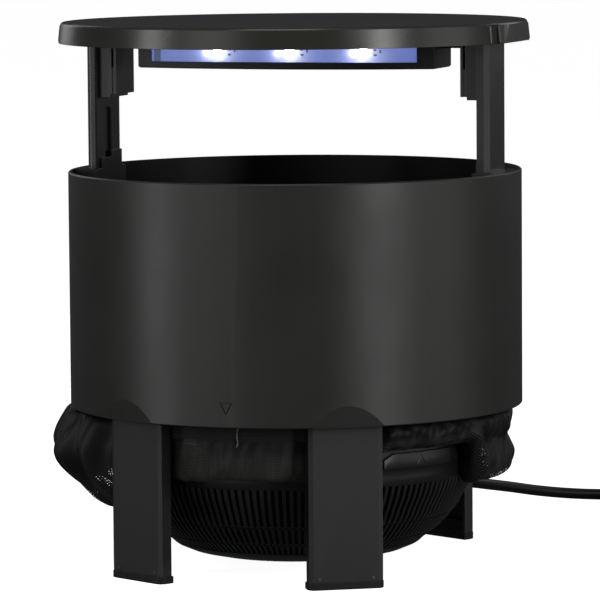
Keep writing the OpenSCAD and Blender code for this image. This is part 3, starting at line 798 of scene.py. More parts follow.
class RepeatTree:
    """A Geometry Nodes tree that repeats a template and joins the copies into one mesh.

    Inputs: Template, the shape; Finish, its material; and Count and Start for a ring round the
    axis, Turn for points, or Spacing for a line. Copies turn by a fixed step, so nothing is drawn
    by chance.
    """

    def __init__(self, way: Repeat) -> None:
        """Builds the tree for one way of repeating."""
        self.tree = bpy.data.node_groups.new(f"repeat_{way.value}", "GeometryNodeTree")
        sockets = self.tree.interface
        for name, kind in (
            ("Geometry", "NodeSocketGeometry"),
            ("Template", "NodeSocketObject"),
            ("Finish", "NodeSocketMaterial"),
            ("Count", "NodeSocketInt"),
            ("Start", "NodeSocketFloat"),
            ("Turn", "NodeSocketFloat"),
            ("Spacing", "NodeSocketFloat"),
        ):
            sockets.new_socket(name=name, in_out="INPUT", socket_type=kind)
        sockets.new_socket(name="Geometry", in_out="OUTPUT", socket_type="NodeSocketGeometry")
        given = add_node(self.tree, "NodeGroupInput").outputs
        shape = add_node(
            self.tree,
            "GeometryNodeObjectInfo",
            links={"Object": given["Template"]},
            transform_space="ORIGINAL",
        )
        index = add_node(self.tree, "GeometryNodeInputIndex").outputs[0]
        if way is Repeat.RING:
            places = add_node(
                self.tree, "GeometryNodePoints", links={"Count": given["Count"]}
            ).outputs[0]
            step = self.sum("DIVIDE", math.tau, given["Count"])
            turn = self.sum("ADD", given["Start"], self.sum("MULTIPLY", index, step))
            heading = add_node(self.tree, "ShaderNodeCombineXYZ", links={2: turn}).outputs[0]
        elif way is Repeat.POINTS:
            places = given["Geometry"]
            turn = self.sum("MULTIPLY", index, given["Turn"])
            heading = add_node(self.tree, "ShaderNodeCombineXYZ", links={2: turn}).outputs[0]
        else:
            spaced = add_node(
                self.tree,
                "GeometryNodeCurveToPoints",
                links={"Curve": given["Geometry"], "Length": given["Spacing"]},
                mode="LENGTH",
            )
            places = spaced.outputs["Points"]
            heading = spaced.outputs["Rotation"]
        copies = add_node(
            self.tree,
            "GeometryNodeInstanceOnPoints",
            links={"Points": places, "Instance": shape.outputs["Geometry"], "Rotation": heading},
        )
        solid = add_node(
            self.tree, "GeometryNodeRealizeInstances", links={"Geometry": copies.outputs[0]}
        )
        dressed = add_node(
            self.tree,
            "GeometryNodeSetMaterial",
            links={"Geometry": solid.outputs[0], "Material": given["Finish"]},
        )
        add_node(self.tree, "NodeGroupOutput", links={"Geometry": dressed.outputs[0]})

    def sum(self, operation: str, *terms: object) -> bpy.types.NodeSocket:
        """Adds one step of arithmetic to the tree."""
        return math_node(self.tree, operation, *terms)

    def bake(
        self,
        name: str,
        carrier: bpy.types.Object,
        template: bpy.types.Object,
        finish: Finish,
        **sizes: float,
    ) -> bpy.types.Object:
        """Runs the tree and keeps its result as a plain mesh.

        Args:
            name: Name of the new piece.
            carrier: Object whose points or line carry the copies; it is removed.
            template: Shape that is copied; it is removed.
            finish: Finish of the copies.
            sizes: Values of the tree's other inputs, by name.

        Returns:
            The new piece.
        """
        modifier = carrier.modifiers.new("repeat", "NODES")
        modifier.node_group = self.tree
        given = {"Template": template, "Finish": finish.material(), **sizes}
        for item in self.tree.interface.items_tree:
            if item.in_out == "INPUT" and item.name in given:
                modifier[item.identifier] = given[item.name]
        bpy.context.view_layer.update()
        graph = bpy.context.evaluated_depsgraph_get()
        data = bpy.data.meshes.new_from_object(carrier.evaluated_get(graph), depsgraph=graph)
        data.name = name
        if not data.materials:
            data.materials.append(finish.material())
        for used in (carrier, template):
            bpy.data.objects.remove(used)
        return placed(name, data)


def point_cloud(name: str, points: Iterable[Point]) -> bpy.types.Object:
    """Makes an object of loose vertices, in metres, from points in millimetres."""
    data = bpy.data.meshes.new(name)
    data.from_pydata([tuple(c * MM for c in p) for p in points], [], [])
    return placed(name, data)


def line_curve(
    name: str, points: Sequence[Sequence[float]], cyclic: bool = False
) -> bpy.types.Object:
    """Makes a curve of one spline through points.

    Args:
        name: Name of the curve.
        points: Points in millimetres.
        cyclic: Whether the line closes on itself.

    Returns:
        The curve object.
    """
    data = bpy.data.curves.new(name, "CURVE")
    data.dimensions = "3D"
    spline = data.splines.new("POLY")
    spline.points.add(len(points) - 1)
    for place, point in zip(spline.points, points):
        place.co = (point[0] * MM, point[1] * MM, point[2] * MM, 1.0)
    spline.use_cyclic_u = cyclic
    return placed(name, data)


# ---- Studio ----


@dataclass(frozen=True)
class Softbox:
    """A tall or flat rectangular softbox, aimed at the drum's middle."""

    name: str
    bearing: float
    distance: float
    height: float
    size: Pair
    watts: float


@dataclass
class Studio:
    """Camera, softboxes, and a pale floor that runs out to the horizon."""

    camera_at: Point = (0.8648, -2.7624, 0.4405)
    bearing: float = 17.332
    down: float = 5.406
    roll: float = -0.441
    lens: float = 271.88
    aim: Point = (0.0, 0.0, 0.2)
    floor_r: float = 60.0
    floor_sides: int = 96
    softboxes: tuple[Softbox, ...] = (
        Softbox("softbox_left", -53, 1.7, 0.4, (0.34, 1.5), 7.6),
        Softbox("softbox_left_fill", -22, 1.9, 0.5, (0.8, 1.4), 4.0),
        Softbox("softbox_right", 59, 1.7, 0.4, (0.26, 1.5), 12.5),
        Softbox("softbox_right_fill", 96, 1.9, 0.4, (0.9, 1.4), 3.6),
        Softbox("softbox_top", 10, 1.0, 1.9, (1.0, 1.0), 10.0),
        Softbox("softbox_back_left", 232, 2.0, 0.9, (0.7, 1.2), 3.0),
        Softbox("softbox_back_right", 152, 2.0, 0.9, (0.7, 1.2), 3.0),
    )

    def build(self) -> None:
        """Makes the whole studio."""
        self.place_camera()
        for box in self.softboxes:
            self.place_softbox(box)
        self.lay_floor()
        self.set_air()

    def place_camera(self) -> None:
        """Places the camera, turned, tipped and rolled as measured."""
        turn, tip, roll = (math.radians(a) for a in (self.bearing, self.down, self.roll))
        ahead = Vector(
            (-math.sin(turn) * math.cos(tip), math.cos(turn) * math.cos(tip), -math.sin(tip))
        )
        right = Vector((math.cos(turn), math.sin(turn), 0))
        up = right.cross(ahead)
        across = right * math.cos(roll) + up * math.sin(roll)
        above = up * math.cos(roll) - right * math.sin(roll)
        data = bpy.data.cameras.new("camera")
        data.sensor_width = 36
        data.lens = self.lens
        data.clip_start = 0.05
        data.clip_end = 200
        camera = placed("camera", data)
        camera.rotation_mode = "QUATERNION"
        camera.location = self.camera_at
        turned = Matrix((across, above, -ahead)).transposed()
        camera.rotation_quaternion = turned.to_quaternion()
        bpy.context.scene.camera = camera

    def place_softbox(self, box: Softbox) -> None:
        """Hangs one softbox and aims it."""
        data = bpy.data.lights.new(box.name, "AREA")
        data.shape = "RECTANGLE"
        data.size, data.size_y = box.size
        data.energy = box.watts
        lamp = placed(box.name, data)
        turn = math.radians(box.bearing)
        lamp.location = (
            box.distance * math.sin(turn), -box.distance * math.cos(turn), box.height
        )
        lamp.rotation_mode = "QUATERNION"
        aim = Vector(self.aim) - lamp.location
        lamp.rotation_quaternion = aim.to_track_quat("-Z", "Y")

    def lay_floor(self) -> None:
        """Lays a wide pale floor. Only the camera sees it, so it throws no light back."""
        paper = bpy.data.materials.new("pale_floor_paper")
        tree = cleared(paper)
        surface = add_node(
            tree,
            "ShaderNodeBsdfPrincipled",
            {
                "Base Color": linear_colour("#f4f4f2"),
                "Roughness": 0.9,
                "Specular IOR Level": 0.0,
                "Emission Color": linear_colour("#ffffff"),
                "Emission Strength": 0.95,
            },
        )
        add_node(tree, "ShaderNodeOutputMaterial", links={"Surface": surface.outputs[0]})
        rim = [(x, y, 0.0) for x, y in circle(self.floor_r, self.floor_sides)]
        data = bpy.data.meshes.new("floor")
        data.from_pydata(rim, [], [tuple(range(self.floor_sides))])
        data.materials.append(paper)
        floor = placed("floor", data)
        for ray in ("diffuse", "glossy", "transmission", "volume_scatter"):
            setattr(floor, f"visible_{ray}", False)

    def set_air(self) -> None:
        """Fills the room with a dim even light."""
        world = bpy.data.worlds.new("studio_air")
        tree = cleared(world)
        air = add_node(
            tree, "ShaderNodeBackground", {"Color": linear_colour("#dfe3e6"), "Strength": 0.06}
        )
        add_node(tree, "ShaderNodeOutputWorld", links={"Surface": air.outputs[0]})
        bpy.context.scene.world = world
        bpy.context.scene.view_settings.view_transform = "Standard"


# ---- Cord, its relief, ties and plug ----


@dataclass
class MainsCord:
    """Mains cord of 1.7 m: it leaves the drum's floor, runs off to the right and ends coiled."""

    diameter: float = 7.5
    route_lead: tuple[Point, ...] = (
        (23, 133, 76), (23, 133, 68), (24, 136, 59), (27, 142, 51), (31, 152, 43.5),
        (36, 165, 37.5), (42, 180, 32), (49, 196, 27.5), (56, 213, 23), (65, 232, 19),
        (76, 251, 15), (89, 269, 10.7), (104, 285, 7.3), (121, 299, 5), (139, 310, 4),
        (158, 318, 4.2), (178, 325, 4.6),
    )
    route_tail: tuple[Point, ...] = (
        (241, 296, 12), (245, 285, 12), (249, 274, 11), (253, 263, 9.6), (257, 252, 8.5),
        (261, 241, 8),
    )
    coil_at: Pair = (195, 279)
    lanes: tuple[float, float, float] = (49.0, 41.5, 34.0)
    layers: Pair = (4.55, 12.05)
    coil_start: float = 110.3
    plug_heading: float = -70.0
    gland_at: Pair = (23, 133)
    gland_mouth: float = 76.0
    gland_root: float = 98.5
    gland_r: Pair = (4.85, 6.8)
    gland_grooves: int = 6
    tie_angles: Pair = (60.0, 215.0)

    def coil_line(self) -> list[Point]:
        """Computes the coil: turns that step inwards, then turns on top that step out again.

        A step in or out takes a sixth of a turn, all at one place, so neighbouring turns stay a
        diameter apart. The inmost turn climbs to the upper layer just before that place.
        """
        outer, middle, inner = self.lanes
        low, high = self.layers
        stations = (
            (0, outer, low), (300, outer, low), (360, middle, low), (660, middle, low),
            (720, inner, low), (975, inner, low), (1020, inner, high), (1260, inner, high),
            (1320, middle, high), (1620, middle, high), (1680, outer, high), (1890, outer, high),
        )
        line = []
        for (from_s, from_r, from_z), (to_s, to_r, to_z) in zip(stations, stations[1:]):
            steps = max(2, round((to_s - from_s) / 7.5))
            for k in range(1, steps + 1):
                t = k / steps
                angle = math.radians(self.coil_start - from_s - (to_s - from_s) * t)
                r = blend(from_r, to_r, eased(t))
                line.append(
                    (
                        self.coil_at[0] + r * math.cos(angle),
                        self.coil_at[1] + r * math.sin(angle),
                        blend(from_z, to_z, eased(t)),
                    )
                )
        return line

    def build(self) -> None:
        line = [*catmull(self.route_lead, 5), *self.coil_line(), *catmull(self.route_tail, 4)[1:]]
        cord = line_curve("mains_cord", line)
        cord.data.bevel_depth = self.diameter / 2 * MM
        cord.data.bevel_resolution = 4
        cord.data.use_fill_caps = True
        cord.data.materials.append(CORD_PVC.material())
        settle(cord, Body.BASE, "cord_sheath", "power_cord", "cord_coil", "cord_tail")
        relief = settle(self.relief(), Body.BASE, "cord_sheath", "cord_gland")
        ties = settle(self.ties(), Body.BASE, "cord_sheath", "coil_ties")
        plug = settle(self.plug(), Body.BASE, "cord_sheath", "plug_body")
        dress(PIN_BRASS, "plug_pins")
        length = sum(math.dist(a, b) for a, b in zip(line, line[1:]))
        LOG.info("mains cord is %.0f mm long", length)

    def relief(self) -> bpy.types.Object:
        """Tapered strain relief with grooves, hanging from the drum's floor."""
        section: list[Pair] = [(0, self.gland_mouth), (4.3, self.gland_mouth)]
        height = self.gland_root - self.gland_mouth
        pitch = (height - 1) / self.gland_grooves
        for i in range(self.gland_grooves):
            z = self.gland_mouth + 0.6 + i * pitch
            r = blend(*self.gland_r, (z - self.gland_mouth) / height)
            section += [(r, z), (r + 0.2, z + pitch * 0.62), (r - 0.75, z + pitch * 0.66),
                        (r - 0.75, z + pitch * 0.96)]
        section += [
            (self.gland_r[1], self.gland_root), (8.2, self.gland_root),
            (8.5, self.gland_root + 0.3), (8.5, 101), (6, 101), (6, 107), (0, 107),
        ]
        draft = Draft()
        draft.turn(section, 48)
        place = Matrix.Translation((*self.gland_at, 0))
        return draft.piece("cord_strain_relief", CORD_PVC, move=place)

    def ties(self) -> bpy.types.Object:
        """Two flat straps round the coil, each with a small buckle on top."""
        draft = Draft()
        middle = self.lanes[1]
        for angle in self.tie_angles:
            place = (
                Matrix.Translation((*self.coil_at, 0))
                @ Matrix.Rotation(math.radians(angle), 4, "Z")
                @ Matrix.Translation((middle, 0, 0))
            )
            loops = []
            for grow in (0.0, 0.8):
                half, low, high, r = 11.9 + grow, 0.8 - grow, 15.8 + grow, 3.2 + grow
                loop = []
                for cx, cz, first in (
                    (half - r, high - r, 0), (-half + r, high - r, 90),
                    (-half + r, low + r, 180), (half - r, low + r, 270),
                ):
                    bends = [math.radians(first + a) for a in range(0, 91, 15)]
                    loop += [(cx + r * math.cos(a), cz + r * math.sin(a)) for a in bends]
                loops.append(loop)
            inner, outer = loops
            section = [
                [(x, y, z) for x, z in loop] for loop, y in (
                    (inner, -4.5), (outer, -4.5), (outer, 4.5), (inner, 4.5), (inner, -4.5))
            ]
            draft.loft([[tuple(place @ Vector(p)) for p in ring] for ring in section], capped=False)
        return draft.piece("coil_straps", BLACK_YARN, 0.15)

    def plug(self) -> bpy.types.Object:
        """Moulded two-pin plug: ribbed relief, waisted grip and a flat face for the pins."""
        draft = Draft()
        stations = [(0.0, 4.4, 4.4, 2.0)]
        for i in range(6):
            x = 1.0 + i * 4.3
            r = 4.7 + 1.6 * x / 28
            stations += [(x, r, r, 2.0), (x + 2.6, r + 0.2, r + 0.2, 2.0),
                         (x + 2.8, r - 0.8, r - 0.8, 2.0), (x + 4.0, r - 0.8, r - 0.8, 2.0)]
        stations += [(28.0, 8.2, 6.4, 3.0), (29.5, 10.2, 7.6, 4.0), (34.0, 10.9, 7.95, 4.5),
                     (42.0, 9.9, 7.4, 4.5), (50.0, 10.9, 7.95, 4.5), (55.0, 11.0, 8.0, 5.0),
                     (56.0, 10.4, 7.4, 5.0)]
        rings = []
        for x, half_w, half_h, power in stations:
            ring = []
            for c, s in circle(1.0, 40):
                ring.append(
                    (
                        x,
                        half_w * math.copysign(abs(c) ** (2 / power), c),
                        half_h * math.copysign(abs(s) ** (2 / power), s),
                    )
                )
            rings.append(ring)
        draft.loft(rings)
        place = Matrix.Translation(self.route_tail[-1]) @ Matrix.Rotation(
            math.radians(self.plug_heading), 4, "Z"
        )
        return draft.piece("plug_moulding", CORD_PVC, move=place)


# ---- Net ----


@dataclass(frozen=True)
class NetSection:
    """Section of the hanging net at one bearing: its line from collar to tray, and its folds."""

    bearing: float
    line: tuple[Pair, ...]
    fold: float
    ripple: float = 0.0
    gather: float = 0.3


NET_FLAT_SIDE: tuple[Pair, ...] = (
    (125.9, 99.2), (126.4, 95), (126.6, 88), (126.7, 80), (126.4, 73), (125, 67.5), (122, 65),
    (119.4, 67), (118.3, 72), (118.8, 79), (120.6, 84), (121.3, 87),
)
NET_LEFT_BAG: tuple[Pair, ...] = (
    (126, 99.4), (137, 100.2), (146.5, 99.2), (151, 91), (155.4, 78), (153.5, 69), (146, 57.8),
    (138, 49.6), (128.5, 42), (121, 38.5), (116, 45), (116.6, 58), (118.4, 74), (121.3, 87),
)
NET_RIGHT_BAG: tuple[Pair, ...] = (
    (126, 99.4), (133, 99.4), (138.4, 95.5), (138.2, 88), (135, 81.5), (136.4, 75), (138.6, 68),
    (136.5, 60.5), (129.5, 55.5), (122, 54.6), (118, 60), (118.2, 70), (119.2, 79), (121.3, 87),
)
NET_OVER_TAB: tuple[Pair, ...] = (
    (126, 99.4), (131, 99.2), (134, 95), (133.8, 90), (131.5, 85.6), (128, 83.2), (125.2, 82.6),
    (122.8, 83.6), (121.8, 85.2), (121.3, 87),
)


@dataclass
class CatchNet:
    """Mesh sleeve gathered round the drum's collar, bagging out between the legs."""

    rows: int = 64
    columns: int = 960
    sections: tuple[NetSection, ...] = (
        NetSection(-180, NET_FLAT_SIDE, 0.3, 1.5),
        NetSection(-140, NET_FLAT_SIDE, 0.5, 1.5),
        NetSection(-126, NET_LEFT_BAG, 3.2, 2.0, 0.8),
        NetSection(-96, NET_LEFT_BAG, 6.5, 2.4, 0.85),
        NetSection(-56, NET_LEFT_BAG, 6.5, 2.2, 0.85),
        NetSection(-43, NET_FLAT_SIDE, 1.4, 2.5, 0.8),
        NetSection(-36, NET_FLAT_SIDE, 1.4, 2.5, 0.15),
        NetSection(-14, NET_FLAT_SIDE, 1.6, 3.5, 0.05),
        NetSection(12, NET_FLAT_SIDE, 1.4, 2.5, 0.1),
        NetSection(38, NET_FLAT_SIDE, 0.5, 1.0, 0.3),
        NetSection(43, NET_OVER_TAB, 2.2, 0.3, 1.0),
        NetSection(74.5, NET_OVER_TAB, 2.4, 0.3, 1.0),
        NetSection(81, NET_RIGHT_BAG, 3.2, 1.6, 0.9),
        NetSection(112, NET_RIGHT_BAG, 3.6, 1.8, 0.9),
        NetSection(126, NET_RIGHT_BAG, 2.4, 1.5, 0.7),
        NetSection(139, NET_FLAT_SIDE, 0.5, 1.5),
        NetSection(180, NET_FLAT_SIDE, 0.3, 1.5),
    )
    hem_low: float = 90.5
    hem_high: float = 99.6
    hem_r: float = 127.1
    thread_bearing: float = 0.7
    ceiling: float = 100.3
    tab_sweep: Pair = (-20.0, 76.0)
    tab_clear: float = 119.0

    def resampled(self, line: Sequence[Pair]) -> list[Pair]:
        """Smooths a section's line and spaces its points evenly."""
        dense = catmull(line, 8)
        run = [0.0]
        for a, b in zip(dense, dense[1:]):
            run.append(run[-1] + math.dist(a, b))
        spaced = []
        k = 0
        for i in range(self.rows + 1):
            want = run[-1] * i / self.rows
            while k < len(run) - 2 and run[k + 1] < want:
                k += 1
            t = (want - run[k]) / max(1e-9, run[k + 1] - run[k])
            spaced.append(tuple(blend(p, q, t) for p, q in zip(dense[k], dense[k + 1])))
        return spaced

    @staticmethod
    def waves(bearing: float, down: float) -> tuple[float, float, float]:
        """Sums slanted waves of fixed phase into fold, wrinkle and hang at one place.

        Args:
            bearing: Bearing in degrees.
            down: Share of the way down the cloth.

        Returns:
            Broad folds, fine wrinkles and slow swags, each about -1 to 1.
        """
        turn = math.radians(bearing)
        broad = (
            0.50 * math.sin(23 * turn + 1.1 + 2.2 * down)
            + 0.32 * math.sin(37 * turn + 4.0 - 3.4 * down)
            + 0.24 * math.sin(54 * turn + 2.3 + 4.1 * math.sin(3 * down))
        )
        sharp = math.copysign(abs(broad) ** 0.65, broad)
        fine = (
            0.5 * math.sin(88 * turn + 0.4 + 9 * down)
            + 0.3 * math.sin(61 * turn + 5.2 - 14 * down)
            + 0.3 * math.sin(17 * turn + 21 * down)
        )
        swag = 0.6 * math.sin(9 * turn + 0.9) + 0.4 * math.sin(16 * turn + 2.7)
        return sharp, fine, swag

    def between(self, bearing: float) -> tuple[NetSection, NetSection, float]:
        """Returns the sections on either side of a bearing, and the eased share of the second."""
        k = next(
            i for i in range(len(self.sections) - 1) if bearing <= self.sections[i + 1].bearing
        )
        a, b = self.sections[k], self.sections[k + 1]
        t = (bearing - a.bearing) / (b.bearing - a.bearing)
        return a, b, eased(t)

    def gathers(self, bearing: float) -> list[float]:
        """Returns how far the holes are closed, down the cloth at one bearing."""
        a, b, t = self.between(bearing)
        most = blend(a.gather, b.gather, t)
        shares = []
        for i in range(self.rows + 1):
            down = i / self.rows
            broad, _, swag = self.waves(bearing, down)
            open_low = math.exp(-(((down - 0.54) / 0.09) ** 2))
            share = most * (1.2 - 0.95 * open_low) - 0.1 * broad
            veil = 0.85 / (1 + math.exp((down - 0.27 - 0.13 * swag) / 0.025))
            shares.append(max(0.0, veil, min(1.0, share)))
        return shares

    def place(self, bearing: float, lines: dict[int, list[Pair]]) -> list[Point]:
        """Returns the cloth's points at one bearing, folds included.

        The cloth is kept off the tray only where the tray's tab sweeps. Elsewhere nothing keeps
        its folds out, and on the left bag they reach up to 4.7 mm into the tray.

        Args:
            bearing: Bearing in degrees.
            lines: Evenly spaced points of each section's line, by the line's identity.

        Returns:
            Points from the collar down round the bag and up to the thread.
        """
        a, b, t = self.between(bearing)
        fold = blend(a.fold, b.fold, t)
        ripple = blend(a.ripple, b.ripple, t)
        column = []
        before, after = lines[id(a.line)], lines[id(b.line)]
        for i in range(self.rows + 1):
            down = i / self.rows
            r, z = (blend(p, q, t) for p, q in zip(before[i], after[i]))
            broad, fine, swag = self.waves(bearing, down)
            free = math.sin(math.pi * down) ** 0.6
            r += free * fold * (broad - 0.6 + 0.5 * fine)
            if self.tab_sweep[0] < bearing < self.tab_sweep[1]:
                r = max(r, self.tab_clear)
            z += free * ripple * (0.7 * swag + 0.25 * fine) * (0.4 + 0.6 * down)
            column.append(bearing_point(bearing, r, min(z, self.ceiling)))
        return column

    def sleeve(self) -> bpy.types.Object:
        """Makes the sleeve, with a map of the flat cloth on it."""
        lines = {id(s.line): self.resampled(s.line) for s in self.sections}
        columns = [
            self.place(-180 + 360 * i / self.columns, lines) for i in range(self.columns)
        ]
        high = self.rows + 1
        points = [p for column in columns for p in column]
        drops = []
        for column in columns:
            run = [0.0]
            for a, b in zip(column, column[1:]):
                run.append(run[-1] + math.dist(a, b))
            drops.append([r / NET_FLAT[1] for r in run])
        faces, places = [], []
        for i in range(self.columns):
            for j in range(self.rows):
                n = (i + 1) % self.columns
                faces.append((i * high + j, n * high + j, n * high + j + 1, i * high + j + 1))
                places += [(i, j), (i + 1, j), (i + 1, j + 1), (i, j + 1)]
        data = bpy.data.meshes.new("net_sleeve")
        data.from_pydata([tuple(c * MM for c in p) for p in points], [], faces)
        cloth = data.uv_layers.new(name="cloth")
        for loop, (i, j) in zip(cloth.data, places):
            loop.uv = (i / self.columns, drops[i % self.columns][j])
        close = data.attributes.new("gather", "FLOAT", "POINT")
        for i in range(self.columns):
            for j, share in enumerate(self.gathers(-180 + 360 * i / self.columns)):
                close.data[i * high + j].value = share
        for face in data.polygons:
            face.use_smooth = True
        data.materials.append(NET_KNIT.material())
        return placed("net_sleeve", data)

    def hem(self) -> bpy.types.Object:
        """Woven tape sewn round the top of the sleeve, slightly uneven."""
        draft = Draft()
        rings = []
        steps = 360
        for i in range(steps):
            bearing = 360 * i / steps
            broad, fine, _ = self.waves(bearing, 0.1)
            r = self.hem_r + 0.25 * fine + 0.15 * broad
            low = self.hem_low + 0.7 * broad
            rings.append(
                [
                    bearing_point(bearing, r - 1.3, self.hem_high),
                    bearing_point(bearing, r - 0.5, self.hem_high + 0.2),
                    bearing_point(bearing, r, self.hem_high - 1.2),
                    bearing_point(bearing, r + 0.3, (low + self.hem_high) / 2),
                    bearing_point(bearing, r, low + 0.8),
                    bearing_point(bearing, r - 0.5, low),
                    bearing_point(bearing, r - 1.2, low + 0.6),
                ]
            )
        rings.append(rings[0])
        draft.loft(rings, capped=False)
        return draft.piece("net_hem_tape", HEM_TAPE)

    def stitches(self) -> bpy.types.Object:
        """Row of lock stitches round the hem tape."""
        stitch = Draft()
        rings = []
        for z, r in ((-1.1, 0.05), (-0.7, 0.22), (0.0, 0.28), (0.7, 0.22), (1.1, 0.05)):
            rings.append([(x, y, z) for x, y in circle(r, 6)])
        stitch.loft(rings)
        template = stitch.piece("stitch", BLACK_YARN)
        line = line_curve(
            "stitch_line",
            [bearing_point(a, self.hem_r + 0.35, self.hem_low + 2.6) for a in range(0, 360, 2)],
            cyclic=True,
        )
        return RepeatTree(Repeat.LINE).bake(
            "net_hem_stitches", line, template, BLACK_YARN, Spacing=3.0 * MM
        )

    def drawstring(self) -> bpy.types.Object:
        """Thread that draws the sleeve to the tray's ring, and its loose end at the front."""
        draft = Draft()
        draft.turn([(121.0 + x, 87 + y) for x, y in circle(0.45, 8)], 180)
        route = catmull(
            [
                bearing_point(self.thread_bearing + 0.2, 127.75, 100.6),
                bearing_point(self.thread_bearing, 128.0, 97.5),
                bearing_point(self.thread_bearing - 0.1, 128.2, 93.5),
                bearing_point(self.thread_bearing + 0.1, 128.1, 90.0),
                bearing_point(self.thread_bearing - 0.3, 127.7, 87.2),
            ],
            4,
        )
        draft.loft([[(x + dx, y + dy, z) for dx, dy in circle(0.4, 8)] for x, y, z in route])
        return draft.piece("drawstring_thread", GREY_YARN)

    def build(self) -> None:
        net = settle(self.sleeve(), Body.BASE, "net_mesh", "net")
        hem = settle(self.hem(), Body.BASE, "net_mesh")
        stitches = settle(self.stitches(), Body.BASE, "net_mesh")
        thread = settle(self.drawstring(), Body.BASE, "thread_grey", "drawstring")


# ---- Tray ----


@dataclass
class CatchTray:
    """Bowl of fine upright ribs with a turning tab, hung in a bayonet ring."""

    count: int = 150
    rib_share: float = 0.56
    wall: float = 2.3
    neck_r: float = 115.3
    outline: tuple[Pair, ...] = (
        (114.1, 58.5), (111.5, 51), (107, 43), (102.5, 35), (97, 28), (89, 20.5), (80, 14),
        (70, 9), (58, 6),
    )
    rows: tuple[Pair, ...] = ((58.8, 33.2), (32.4, 21.2), (20.2, 13.2))
    tab_from: float = 44.5
    tab_to: float = 72.4
    tab_r: float = 118.0
    tab_z: Pair = (70.0, 79.5)
    band_inset: float = 1.1
    tip_flare: float = 0.5
    screen_inset: float = 3.2

    def radius(self, z: float) -> float:
        """Returns the bowl's outer radius at a height."""
        for (r0, z0), (r1, z1) in zip(self.outline, self.outline[1:]):
            if z1 <= z <= z0:
                return r1 + (r0 - r1) * (z - z1) / (z0 - z1)
        return self.outline[0][0] if z > self.outline[0][1] else self.outline[-1][0]

    def band(self, heights: Sequence[float], depth: float) -> list[Pair]:
        """Returns the closed section of a solid band of the bowl between heights."""
        outer = [(self.radius(z) - self.band_inset, z) for z in heights]
        inner = [(r - depth, z) for r, z in reversed(outer)]
        return outer + inner

    def shell(self) -> bpy.types.Object:
        """Makes the neck, the smooth shoulder, the bands between the rib rows and the floor."""
        draft = Draft()
        neck = [
            (self.neck_r, 90.6), (self.neck_r, 71.2), (self.neck_r - 0.3, 70.2), (114.45, 69),
            (114.3, 64), (114.1, 59.6), (113.5, 58.4), (111.6, 58.2), (111.7, 64), (112.4, 71),
            (self.neck_r - self.wall, 74), (self.neck_r - self.wall, 90.6),
            (self.neck_r - self.wall + 0.4, 91), (self.neck_r - 0.4, 91),
        ]
        draft.turn(neck, 240)
        draft.turn(self.band((34.0, 33.2, 32.0), 2.4), 240)
        draft.turn(self.band((21.8, 20.8, 19.8), 2.4), 240)
        bowl = [
            (78.6, 13.6), (79.6, 13.8), (80, 13.4), (78, 12.0), (70, 8.6), (58, 5.9), (40, 5.55),
            (0, 5.5), (0, 7.8), (40, 7.85), (57.5, 8.4), (69, 11.2), (77, 14.4),
        ]
        draft.turn(bowl, 180)
        for start in (15, 105, 195, 285):
            draft.turn([(114.3, 88), (118, 88), (118, 91), (114.3, 91)], 14, start, 14)
        return draft.piece("tray_shell", TRAY_PP, 0.25, 1)

    def rib(self, high: float, low: float) -> bpy.types.Object:
        """Makes one rib at the front, curved as the bowl is, between two heights."""
        half = 180 / self.count * self.rib_share
        draft = Draft()
        rings = []
        for i in range(7):
            z = high + (low - high) * i / 6
            r = self.radius(z) + (self.tip_flare if i == 5 else 0.0)
            edge = half * 0.72
            back = self.wall + 0.2
            rings.append(
                [
                    bearing_point(-half, r - 0.5, z),
                    bearing_point(-edge, r, z),
                    bearing_point(edge, r, z),
                    bearing_point(half, r - 0.5, z),
                    bearing_point(half, r - back, z),
                    bearing_point(-half, r - back, z),
                ]
            )
        draft.loft(rings)
        return draft.piece("rib", TRAY_PP)

    def ribs(self) -> bpy.types.Object:
        """Repeats the ribs round each row and joins the rows."""
        mesh = bmesh.new()
        tree = RepeatTree(Repeat.RING)
        for high, low in self.rows:
            row = tree.bake(
                "rib_row", point_cloud("row_middle", [(0, 0, 0)]), self.rib(high, low), TRAY_PP,
                Count=self.count, Start=math.radians(1.2),
            )
            mesh.from_mesh(row.data)
            bpy.data.objects.remove(row)
        return finished("tray_ribs", mesh, TRAY_PP)

    def screen(self) -> bpy.types.Object:
        """Makes the fine screen inside the ribs, which keeps small insects in."""
        heights = [58.4 - 3.4 * i for i in range(13)]
        outer = [(self.radius(z) - self.screen_inset, z) for z in heights]
        inner = [(r - 0.5, z + 0.2) for r, z in reversed(outer)]
        draft = Draft()
        draft.turn(outer + inner, 180)
        return draft.piece("tray_screen", SCREEN_PP)

    def tab(self) -> bpy.types.Object:
        """Makes the raised tab, cut off slantwise at its upper left, with a raised triangle."""
        low, high = self.tab_z
        draft = Draft()
        rings = []
        steps = 28
        for i in range(steps + 1):
            bearing = self.tab_from + (self.tab_to - self.tab_from) * i / steps
            top = high - max(0.0, 4.0 * (1 - (bearing - self.tab_from) / 3.5))
            rings.append(
                [
                    bearing_point(bearing, self.tab_r, low),
                    bearing_point(bearing, self.tab_r, top),
                    bearing_point(bearing, self.neck_r - 1.5, top),
                    bearing_point(bearing, self.neck_r - 1.5, low),
                ]
            )
        draft.loft(rings)
        middle = (self.tab_from + self.tab_to) / 2
        corners = ((-3.2, 72.0), (3.2, 72.0), (0.0, 77.6))
        for (x0, z0), (x1, z1) in zip(corners, corners[1:] + corners[:1]):
            run = math.dist((x0, z0), (x1, z1))
            slant = math.atan2(z1 - z0, x1 - x0)
            place = (
                Matrix.Rotation(math.radians(middle), 4, "Z")
                @ Matrix.Translation((x0, -self.tab_r, z0))
                @ Matrix.Rotation(-slant, 4, "Y")
            )
            draft.block((-0.3, -0.35, -0.35), (run + 0.3, 0.4, 0.35), place)
        return draft.piece("tray_tab", TRAY_PP, 0.35)

